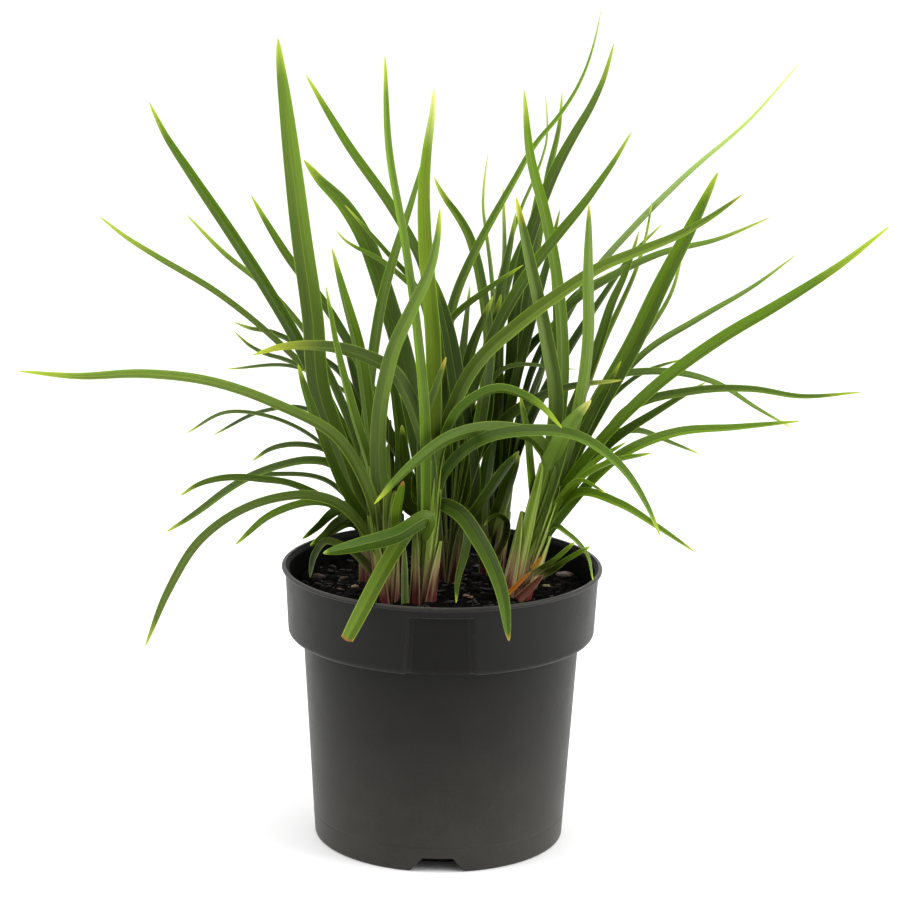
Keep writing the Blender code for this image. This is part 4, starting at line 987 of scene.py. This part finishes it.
# %% Sizes of the pot and lines of its section
POT_ARC, WALL, FLOOR = 8, 2.0, 3.0
LIP_RADIUS, LIP_HEIGHT, LIP_BAND, LIP_ROUNDING = 75.5, 132.0, 2.6, 0.9
COLLAR_TOP, COLLAR_FOOT, COLLAR_HEIGHT, COLLAR_ROUNDING = 73.8, 72.3, 98.7, 3.0
BODY_TOP, FOOT_RADIUS, FOOT_ROUNDING = 65.2, 59.1, 1.5
SEAM_HEIGHT, SEAM_DEPTH, SEAM_STEPS = 12.0, 0.15, (-0.8, -0.3, 0.0, 0.3, 0.8)
RECESS_TOP, RECESS_BEVEL = 126.8, 0.7
# Inside: how far the wall flares under the lip and over what height, and the chamfers lower down
LIP_INSIDE, LIP_DROP, COLLAR_CHAMFER, FLOOR_CHAMFER = 1.5, 2.0, 1.5, 3.0


def arc(outermost, centre_z, radius, first, last):
    """Points (r, z) on an arc that reaches the outermost radius, between two angles in degrees."""
    angle = np.radians(np.linspace(first, last, POT_ARC))
    centre = np.array([outermost - radius, centre_z])
    return centre + radius * np.stack([np.cos(angle), np.sin(angle)], axis=1)


def straight(start, end, count):
    """Points (r, z) on a straight stretch of the section, without its last point."""
    return np.linspace(start, end, count, endpoint=False)


def on_line(start, end, height):
    """The point (r, z) at a height on the line between two points of the section."""
    share = (height - start[1]) / (end[1] - start[1])
    return start[0] + share * (end[0] - start[0]), height


print("pot", 2 * LIP_RADIUS, "mm wide and", LIP_HEIGHT, "mm tall")

# %% The pot's section
lip_low = LIP_HEIGHT - LIP_BAND
under_foot = arc(FOOT_RADIUS, FOOT_ROUNDING, FOOT_ROUNDING, -90, 0)
under_collar = arc(COLLAR_FOOT, COLLAR_HEIGHT + COLLAR_ROUNDING, COLLAR_ROUNDING, -90, 0)
lip = arc(LIP_RADIUS, LIP_HEIGHT - LIP_ROUNDING, LIP_ROUNDING, -40, 100)
body = (under_foot[-1], (BODY_TOP, COLLAR_HEIGHT))
seam = [on_line(*body, SEAM_HEIGHT + step) for step in SEAM_STEPS]
seam[2] = (seam[2][0] - SEAM_DEPTH, SEAM_HEIGHT)
band = (under_collar[-1], (COLLAR_TOP, lip_low))
recess_edge = [on_line(*band, RECESS_TOP - RECESS_BEVEL), on_line(*band, RECESS_TOP)]
flare = np.linspace(0.0, 1.0, 6)[:-1, None]
flare = [COLLAR_TOP, lip_low] + (lip[0] - [COLLAR_TOP, lip_low]) * np.hstack([flare**2, flare])
outside = np.vstack([straight((0.5, 0.0), under_foot[0], 6), under_foot[:-1],
                     straight(under_foot[-1], seam[0], 5), seam, straight(seam[-1], body[1], 36)[1:],
                     straight(body[1], under_collar[0], 4), under_collar[:-1],
                     straight(band[0], recess_edge[0], 20), straight(*recess_edge, 3),
                     straight(recess_edge[1], band[1], 3), flare, lip])
inner_flare = np.linspace(1.0, 0.0, 6)[:-1, None]
inner_flare = np.hstack([COLLAR_TOP - WALL + LIP_INSIDE * inner_flare**2, lip_low + LIP_DROP * inner_flare])
ledge = COLLAR_HEIGHT + WALL
wall_foot = (COLLAR_FOOT - WALL, ledge + COLLAR_CHAMFER)
floor_edge = (FOOT_RADIUS - WALL, FLOOR + FLOOR_CHAMFER)
inside = np.vstack([[(inner_flare[0, 0] + 0.35, LIP_HEIGHT)], inner_flare,
                    straight((COLLAR_TOP - WALL, lip_low), wall_foot, 8), [wall_foot],
                    [(wall_foot[0] - COLLAR_CHAMFER, ledge)],
                    straight((BODY_TOP - WALL, ledge), floor_edge, 8),
                    [floor_edge, (floor_edge[0] - FLOOR_CHAMFER, FLOOR), (0.5, FLOOR)]])
print(len(outside) + len(inside), "points in the section")

# %% The pot's surface
# A recess's depth outside, its bulge inside, half its width in degrees and what its foot has more
RECESS_DEPTH, RECESS_INSIDE = 1.8, 0.8
RECESS_HALF, RECESS_FLARE = 12.1, 1.5


def below_recess_top(height):
    """How far a height lies under the top of a recess, as a share of the recess's height."""
    return (RECESS_TOP - height) / (RECESS_TOP - COLLAR_HEIGHT)


def carried_round(r, z, angle):
    """Points (r cos a, r sin a, z), a row for each point of a section and a column for each angle."""
    return np.stack(np.broadcast_arrays(r * np.cos(angle), r * np.sin(angle), z), axis=2)


def turned_pot():
    """The section carried round, with r less inside the recesses; columns are closest at their sides.

    A recess is 24 degrees wide at its top and 27 at its open foot, with bevels one degree wide.
    """
    section = np.vstack([outside, inside])
    edges = np.concatenate([np.arange(9.0, 15.0, 0.3), np.arange(15.0, 165.0, 1.5),
                            np.arange(165.0, 171.0, 0.3)])
    inner = np.arange(-9.0, 9.0, 1.0)
    degrees = np.concatenate([inner, edges, inner + 180.0, edges + 180.0])
    r, z = section[:, :1], section[:, 1:]
    off = np.abs((degrees + 90.0) % 180.0 - 90.0)
    half = RECESS_HALF + RECESS_FLARE * below_recess_top(z)
    window = np.clip(half - off, 0.0, 1.0) * np.clip((RECESS_TOP - z) / RECESS_BEVEL, 0.0, 1.0)
    depth = np.where(np.arange(len(section)) < len(outside), RECESS_DEPTH, RECESS_INSIDE)[:, None]
    in_collar = (z >= COLLAR_HEIGHT - 0.01) & (r > BODY_TOP + 2.0)
    return carried_round(r - in_collar * depth * window, z, np.radians(degrees) - 0.5 * math.pi)


def closed_turn(grid):
    """Points and faces of a grid that closes round its columns, with a cap at its first and last row."""
    rows, cols = grid.shape[:2]
    index = np.arange(rows * cols).reshape(rows, cols)
    after = np.roll(index, -1, axis=1)
    quads = np.stack([index[:-1], after[:-1], after[1:], index[1:]], axis=-1).reshape(-1, 4)
    return grid.reshape(-1, 3), quads.tolist() + [index[0, ::-1].tolist(), index[-1].tolist()]


def mesh_object(name, points, faces):
    """A mesh object from points in mm and faces of any size."""
    mesh = bpy.data.meshes.new(name)
    mesh.from_pydata((np.asarray(points) * MM).tolist(), [], faces)
    mesh.shade_smooth()
    return add_object(name, mesh)


pot = mesh_object("moulded_pot", *closed_turn(turned_pot()))
print(len(pot.data.polygons), "faces in the pot")

# %% Drain notches
DRAIN_COUNT, DRAIN_HEIGHT, DRAIN_TOP, DRAIN_FOOT, DRAIN_REACH = 3, 7.0, 14.0, 26.0, 15.0
SHARP = math.radians(38.0)


def notch_wedge(turn):
    """A wedge across the foot, wider at the ground than at its top, turned to its place."""
    low, high = 0.5 * DRAIN_FOOT, 0.5 * DRAIN_TOP
    over = low + (low - high) / DRAIN_HEIGHT
    section = [(-over, -1.0), (over, -1.0), (high, DRAIN_HEIGHT), (-high, DRAIN_HEIGHT)]
    points = [(x * math.cos(turn) + reach * math.sin(turn), x * math.sin(turn) - reach * math.cos(turn), z)
              for reach in (FOOT_RADIUS - DRAIN_REACH, FOOT_RADIUS + 4.0) for x, z in section]
    faces = [[3, 2, 1, 0], [4, 5, 6, 7]] + [[k, (k + 1) % 4, 4 + (k + 1) % 4, 4 + k] for k in range(4)]
    return points, faces


for number in range(DRAIN_COUNT):
    wedge = mesh_object("wedge", *notch_wedge(2.0 * math.pi * number / DRAIN_COUNT))
    cut = pot.modifiers.new("drain notch", "BOOLEAN")
    cut.object, cut.operation, cut.solver = wedge, "DIFFERENCE", "EXACT"
    bpy.context.view_layer.update()
    carved = bpy.data.meshes.new_from_object(pot.evaluated_get(bpy.context.evaluated_depsgraph_get()))
    pot.modifiers.clear()
    pot.data = carved
    bpy.data.objects.remove(wedge)
pot.data.shade_smooth()
pot.data.set_sharp_from_angle(angle=SHARP)
settle(pot, "pot", "pot")
print(len(pot.data.polygons), "faces after cutting")

# %% [markdown]
# Moulded pot plastic is charcoal with a soft sheen. Its surface is very slightly uneven: a fine grain,
# and a film of pale dust towards the ground, with a pale painted highlight on the lip's top. Dust also
# gives the sides a faint bloom. The floor of a label recess and the wall above the mix get copies of the
# same plastic with less gloss, bloom and paleness, as painted shade. The soil is mottled too, so that is a
# group.

# %% Mottling
mottle, given, result = new_group(
    "mottling",
    [("Place", "NodeSocketVector", None), ("Scale", "NodeSocketFloat", 40.0),
     ("First Colour", "NodeSocketColor", (0.03, 0.03, 0.03, 1.0)),
     ("Second Colour", "NodeSocketColor", (0.06, 0.06, 0.06, 1.0))],
    [("Colour", "NodeSocketColor"), ("Height", "NodeSocketFloat"), ("Mask", "NodeSocketFloat")])
coarse = noise(mottle, given["Place"], given["Scale"], 4.0, 0.6)
grain = noise(mottle, given["Place"], sums(mottle, "MULTIPLY", given["Scale"], 12.0), 2.0)
both = sums(mottle, "MULTIPLY_ADD", grain, 0.35, sums(mottle, "MULTIPLY", coarse, 0.65))
mask = ramp(mottle, both, 0.35, 0.65)
fill(mottle, result, {"Colour": blend_colour(mottle, mask, given["First Colour"], given["Second Colour"]),
                      "Height": sums(mottle, "ADD", coarse, grain), "Mask": mask})


def mottled(tree, scale, first, second):
    """The place on the piece, and what the mottling puts out there for a scale and two colours."""
    spot = add_node(tree, "ShaderNodeTexCoord").outputs["Object"]
    group = add_node(tree, "ShaderNodeGroup", {"Place": spot, "Scale": scale, "First Colour": (*first, 1.0),
                                               "Second Colour": (*second, 1.0)}, node_tree=mottle)
    return spot, group.outputs


print("mottling:", len(mottle.nodes), "nodes")

# %% Pot plastic
# Pale dust, and the same pale colour as a painted highlight on the lip's top
DUST_AND_HIGHLIGHT = (0.036, 0.034, 0.029, 1.0)


def plastic_material(name, gloss, bloom, dust_and_highlight):
    """Mottled charcoal, with dust from 105 mm down towards the ground and a pale painted highlight on the
    lip's top.
    """
    material, tree, shader = new_material(name)
    spot, charcoal = mottled(tree, 60.0, (0.0052, 0.0050, 0.0044), (0.0070, 0.0068, 0.0058))
    height_at = add_node(tree, "ShaderNodeSeparateXYZ", {0: spot}).outputs["Z"]
    # Dust from 105 mm down; the pale band on the lip's top is a painted highlight
    dusted_and_lit = sums(tree, "MAXIMUM", ramp(tree, height_at, 0.105, -0.02, 0.0, dust_and_highlight),
                  ramp(tree, height_at, 0.1305, 0.1318, 0.0, 0.8 * dust_and_highlight))
    dust_and_highlight_at = sums(tree, "MULTIPLY", dusted_and_lit, ramp(tree, charcoal["Mask"], 0.0, 1.0, 0.8, 1.0))
    fill(tree, shader, {"Base Color": blend_colour(tree, dust_and_highlight_at, charcoal["Colour"], DUST_AND_HIGHLIGHT),
                        "Roughness": ramp(tree, charcoal["Mask"], 0.0, 1.0, 0.46, 0.54),
                        "Normal": raised(tree, charcoal["Height"], 0.25, 0.0001),
                        "Specular IOR Level": gloss, "Sheen Weight": bloom, "Sheen Roughness": 0.4})
    return material


pot.data.materials.clear()
# Name, gloss, bloom and dust with the lip's painted highlight; the copies for the recess and the inner wall
# have less of each, as painted shade
for row in (("pot plastic", 0.14, 0.12, 1.0), ("smooth recess", 0.1, 0.05, 0.8),
            ("damp inner wall", 0.03, 0.0, 0.0)):
    pot.data.materials.append(plastic_material(*row))
print(len(pot.data.materials), "finishes of the same plastic")

# %% Which faces get painted shade
# Painted shade: half the width of a recess's shaded floor at its top, how much wider it is at its foot, and
# how far under the soil's height the shaded inner wall starts, all in millimetres
SHADED_FLOOR_HALF, SHADED_FLOOR_FLARE, SHADED_WALL_DEPTH = 11.7, 1.5, 4.0

centre, facing = np.empty((2, 3 * len(pot.data.polygons)), np.float32)
pot.data.polygons.foreach_get("center", centre)
pot.data.polygons.foreach_get("normal", facing)
centre, facing = centre.reshape(-1, 3) / MM, facing.reshape(-1, 3)
outward = np.sum(centre[:, :2] * facing[:, :2], axis=1) / np.hypot(centre[:, 0], centre[:, 1])
height_at = centre[:, 2]
# Painted shade on the recess floors and on the inner wall above the mix
shaded_floor = ((np.abs(centre[:, 0]) < SHADED_FLOOR_HALF + SHADED_FLOOR_FLARE * below_recess_top(height_at))
                & (outward > 0.5) & (height_at > COLLAR_HEIGHT) & (height_at < RECESS_TOP - 0.2))
shaded_wall = (outward < -0.3) & (height_at > SOIL_HEIGHT - SHADED_WALL_DEPTH)
numbers = np.where(shaded_wall, 2, np.where(shaded_floor, 1, 0)).astype(np.int32)
pot.data.polygons.foreach_set("material_index", numbers)
print("plastic:", int(shaded_floor.sum()), "recess faces in painted shade and", int(shaded_wall.sum()), "inner wall faces in painted shade")

# %% [markdown]
# The growing mix is peat: soft dark crumbs of many sizes pressed together, with shreds of bark on top.
# Its surface is a polar grid whose height is the highest crumb over each point, a crumb being a small
# dome. The grid runs on down the pot's inner wall and across the floor, so the mix is one closed body.

# %% Soil surface
CRUMBS = 3400
SOIL_EDGE, SOIL_RINGS, SOIL_COLUMNS = 70.4, 100, 260
# Points (r, z) of the mix below its top: down the wall and in across the floor
UNDER_SOIL = np.array([(69.8, 110.0), (68.4, 102.5), (62.6, 99.5), (56.6, 7.0), (0.3, 3.5)])
dice = np.random.default_rng(11)
crumb_x, crumb_y = SOIL_EDGE * np.sqrt(dice.uniform(0, 1, CRUMBS)) * np.exp(
    1j * dice.uniform(0, 2 * math.pi, CRUMBS)).view(float).reshape(-1, 2).T
crumb_r = 0.6 + 2.6 * dice.uniform(0, 1, CRUMBS) ** 3.0


def soil_top(x, y):
    """The soil's height: a broad wave, a shorter one across it, and the dome of the highest crumb."""
    broad = 0.8 * np.sin(x / 9.0) * np.cos(y / 11.0) + 0.5 * np.sin((x + y) / 6.5)
    domes = np.array([np.sqrt(np.maximum(0.0, crumb_r**2 - (row_x[:, None] - crumb_x) ** 2
                                         - (row_y[:, None] - crumb_y) ** 2)).max(axis=1)
                      for row_x, row_y in zip(x, y)])
    return SOIL_HEIGHT - 0.8 + broad + domes


def soil_grid():
    """The top's polar grid, from the middle to the wall, then down the wall and in under the mix."""
    rings = SOIL_EDGE * np.linspace(0.004, 1.0, SOIL_RINGS)[:, None]
    angle = np.linspace(0.0, 2.0 * math.pi, SOIL_COLUMNS, endpoint=False)
    top = carried_round(rings, 0.0, angle)
    top[..., 2] = soil_top(top[..., 0], top[..., 1])
    rest = carried_round(UNDER_SOIL[:, :1], UNDER_SOIL[:, 1:], angle)
    return np.concatenate([rest[::-1], top[::-1]])


soil = mesh_object("growing_mix", *closed_turn(soil_grid()))
settle(soil, "soil", "soil")
print(len(soil.data.polygons), "faces in the soil")

# %% Soil and bark materials
peat, tree, shader = new_material("peat")
_, crumbs = mottled(tree, 260.0, (0.0012, 0.0012, 0.0011), (0.006, 0.005, 0.004))
fill(tree, shader, {"Base Color": crumbs["Colour"],
                    "Roughness": ramp(tree, crumbs["Mask"], 0.0, 1.0, 0.95, 0.75),
                    "Normal": raised(tree, crumbs["Height"], 0.8, 0.0005), "Specular IOR Level": 0.05})
soil.data.materials.append(peat)

bark, tree, shader = new_material("bark and grit")
patches = noise(tree, add_node(tree, "ShaderNodeTexCoord").outputs["Object"], 500.0, 4.0, 0.6)
patchy = scaled(tree, carried(tree, "tint", "Color"), ramp(tree, patches, 0.3, 0.7, 0.5, 1.4))
fill(tree, shader, {"Base Color": patchy, "Roughness": ramp(tree, patches, 0.3, 0.7, 0.9, 0.65),
                    "Normal": raised(tree, patches, 0.7, 0.0004)})
print("soil materials:", peat.name, "and", bark.name)

# %% [markdown]
# On top lie shreds of bark and a few stones. Each is a skin with an uneven outline and its own tint,
# tilted a little and half sunk. The larger ones are placed where the real ones lie, but never through
# the pot's wall; the small ones are strewn by a seeded dice, so that each run gives the same surface.

# %% Bark chips and grit
# The larger chips: pixel, length and width in mm, screen colour
CHIPS = [
    ((318, 577), 8.5, 5.0, (62, 48, 40)), ((337, 590), 6.5, 3.2, (104, 66, 48)),
    ((344, 581), 4.5, 2.6, (88, 62, 48)), ((355, 590), 3.4, 2.2, (140, 112, 84)),
    ((574, 577), 8.0, 4.2, (124, 104, 98)), ((563, 570), 4.0, 3.0, (92, 88, 84)),
    ((546, 590), 3.6, 1.6, (168, 160, 120)), ((466, 600), 3.0, 1.6, (150, 118, 90)),
    ((470, 601), 2.6, 1.5, (150, 118, 90)), ((482, 602), 3.4, 1.8, (172, 140, 108)),
    ((324, 566), 5.0, 3.0, (48, 40, 34)), ((586, 566), 5.0, 3.2, (60, 52, 46)),
]
SHRED_BULK, LUMP_BULK = 0.22, 0.7
STREWN, STREWN_REACH, BROWN = 420, 66.0, np.array([30, 24, 20])


def chip(x, y, long, wide, colour, turn, tilt, bulk):
    """A chip's skin: a grid of 5 by 4 points with an uneven outline, turned, tilted and laid on the mix.

    Its thickness is its width times its bulk: a shred is thin and a stone or a lump is not.
    """
    v, u = np.meshgrid(np.linspace(-0.5, 0.5, 5), np.linspace(-0.5, 0.5, 4), indexing="ij")
    narrow = 1.0 - 0.9 * (2.0 * v) ** 2 * dice.uniform(0.3, 0.7)
    along = long * v * (1.0 + dice.uniform(-0.12, 0.12, v.shape))
    across = wide * u * narrow * (1.0 + dice.uniform(-0.2, 0.2, v.shape))
    px = x + along * math.cos(turn) - across * math.sin(turn)
    py = y + along * math.sin(turn) + across * math.cos(turn)
    base = float(soil_top(np.array([[x]]), np.array([[y]]))[0, 0])
    pz = base + 0.35 + tilt * along + 0.15 * wide * dice.uniform(-0.5, 0.5, v.shape)
    thick = (bulk * wide + 0.2) * (1.0 - 0.5 * (2.0 * u) ** 2) * narrow
    tint = light_values(*colour) * dice.uniform(0.8, 1.2)
    return skin_part(np.dstack([px, py, pz]), thick, np.zeros(4), np.zeros(5), 0.0, tint)


def on_soil(pixel):
    """The place on the soil's plane that a pixel shows: the eye plus the sight line, down to its height."""
    line = sight_lines([pixel])[0]
    return EYE + (SOIL_HEIGHT - EYE[2]) / line[2] * line


# %% Larger chips where they lie, small ones strewn
chips = []
for pixel, long, wide, colour in CHIPS:
    x, y, _ = on_soil(pixel)
    held = min(1.0, (SOIL_EDGE - 1.5 - 0.6 * long) / math.hypot(x, y))
    chips.append(chip(x * held, y * held, long, wide, colour, dice.uniform(-0.4, 0.4), 0.05, LUMP_BULK))
for _ in range(STREWN):
    reach, around = STREWN_REACH * math.sqrt(dice.uniform(0, 1)), dice.uniform(0, 2 * math.pi)
    long = dice.uniform(1.2, 4.5)
    brown = BROWN * dice.uniform(0.4, 1.3) * (2.6 if dice.uniform(0, 1) > 0.93 else 1.0)
    chips.append(chip(reach * math.cos(around), reach * math.sin(around), long,
                      long * dice.uniform(0.3, 0.6), brown, dice.uniform(0, math.pi),
                      dice.uniform(-0.25, 0.25), SHRED_BULK))
chip_piece = make_piece("bark_chips", chips, [bark])
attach(chip_piece, "root")
print(len(chips), "chips")

# %% [markdown]
# The plant stands on a plain pale floor in a white room. The room does most of the work: it is bright
# behind, above and at the sides and dim near the eye. A soft light on each side, the right one stronger,
# lights the leaves' halves unevenly, and the blades' tints also paint one half lit and the other shaded.

# %% Floor
FLOOR_HALF = 9000
corners = np.array([(-1, -1, 0), (1, -1, 0), (1, 1, 0), (-1, 1, 0)]) * FLOOR_HALF
floor = mesh_object("floor", corners, [[0, 1, 2, 3]])
pale, tree, shader = new_material("pale floor")
fill(tree, shader, {"Base Color": (0.93, 0.93, 0.93, 1.0), "Roughness": 0.9})
floor.data.materials.append(pale)
print("floor", 2 * FLOOR_HALF * MM, "m wide")

# %% The white room
world = bpy.data.worlds.new("white room")
world.use_nodes = True
tree = world.node_tree
way = add_node(tree, "ShaderNodeTexCoord").outputs["Generated"]
way = add_node(tree, "ShaderNodeSeparateXYZ", {0: way}).outputs
bright = sums(tree, "MULTIPLY_ADD", way["Z"], 0.5, way["Y"])
bright = sums(tree, "MULTIPLY_ADD", sums(tree, "ABSOLUTE", way["X"]), 0.6, bright)
bright = sums(tree, "MULTIPLY_ADD", way["X"], 0.2, bright)
fill(tree, tree.nodes["Background"], {"Strength": ramp(tree, bright, -0.8, 0.4, 0.2, 1.3),
                                      "Color": (1.0, 1.0, 1.0, 1.0)})
bpy.context.scene.world = world
bpy.context.scene.view_settings.view_transform = "Standard"
print(world.name, "made of", len(tree.nodes), "nodes")

# %% Soft lights
PLANT_MIDDLE = np.array([0.0, 0.0, 0.22])


def soft_light(name, place, size, power):
    """A square light that looks at the middle of the plant: its -Z axis runs from its place to there."""
    data = bpy.data.lights.new(name, "AREA")
    data.size, data.energy = size, power
    back = np.array(place) - PLANT_MIDDLE
    back /= np.linalg.norm(back)
    side = np.cross([0.0, 0.0, 1.0], back)
    side /= np.linalg.norm(side)
    add_object(name, data).matrix_world = stand_at(side, np.cross(back, side), back, place)


soft_light("left light", (-1.4, -0.3, 1.0), 1.0, 15.0)
soft_light("right light", (1.5, -0.4, 0.8), 1.2, 27.0)
print("two soft lights")
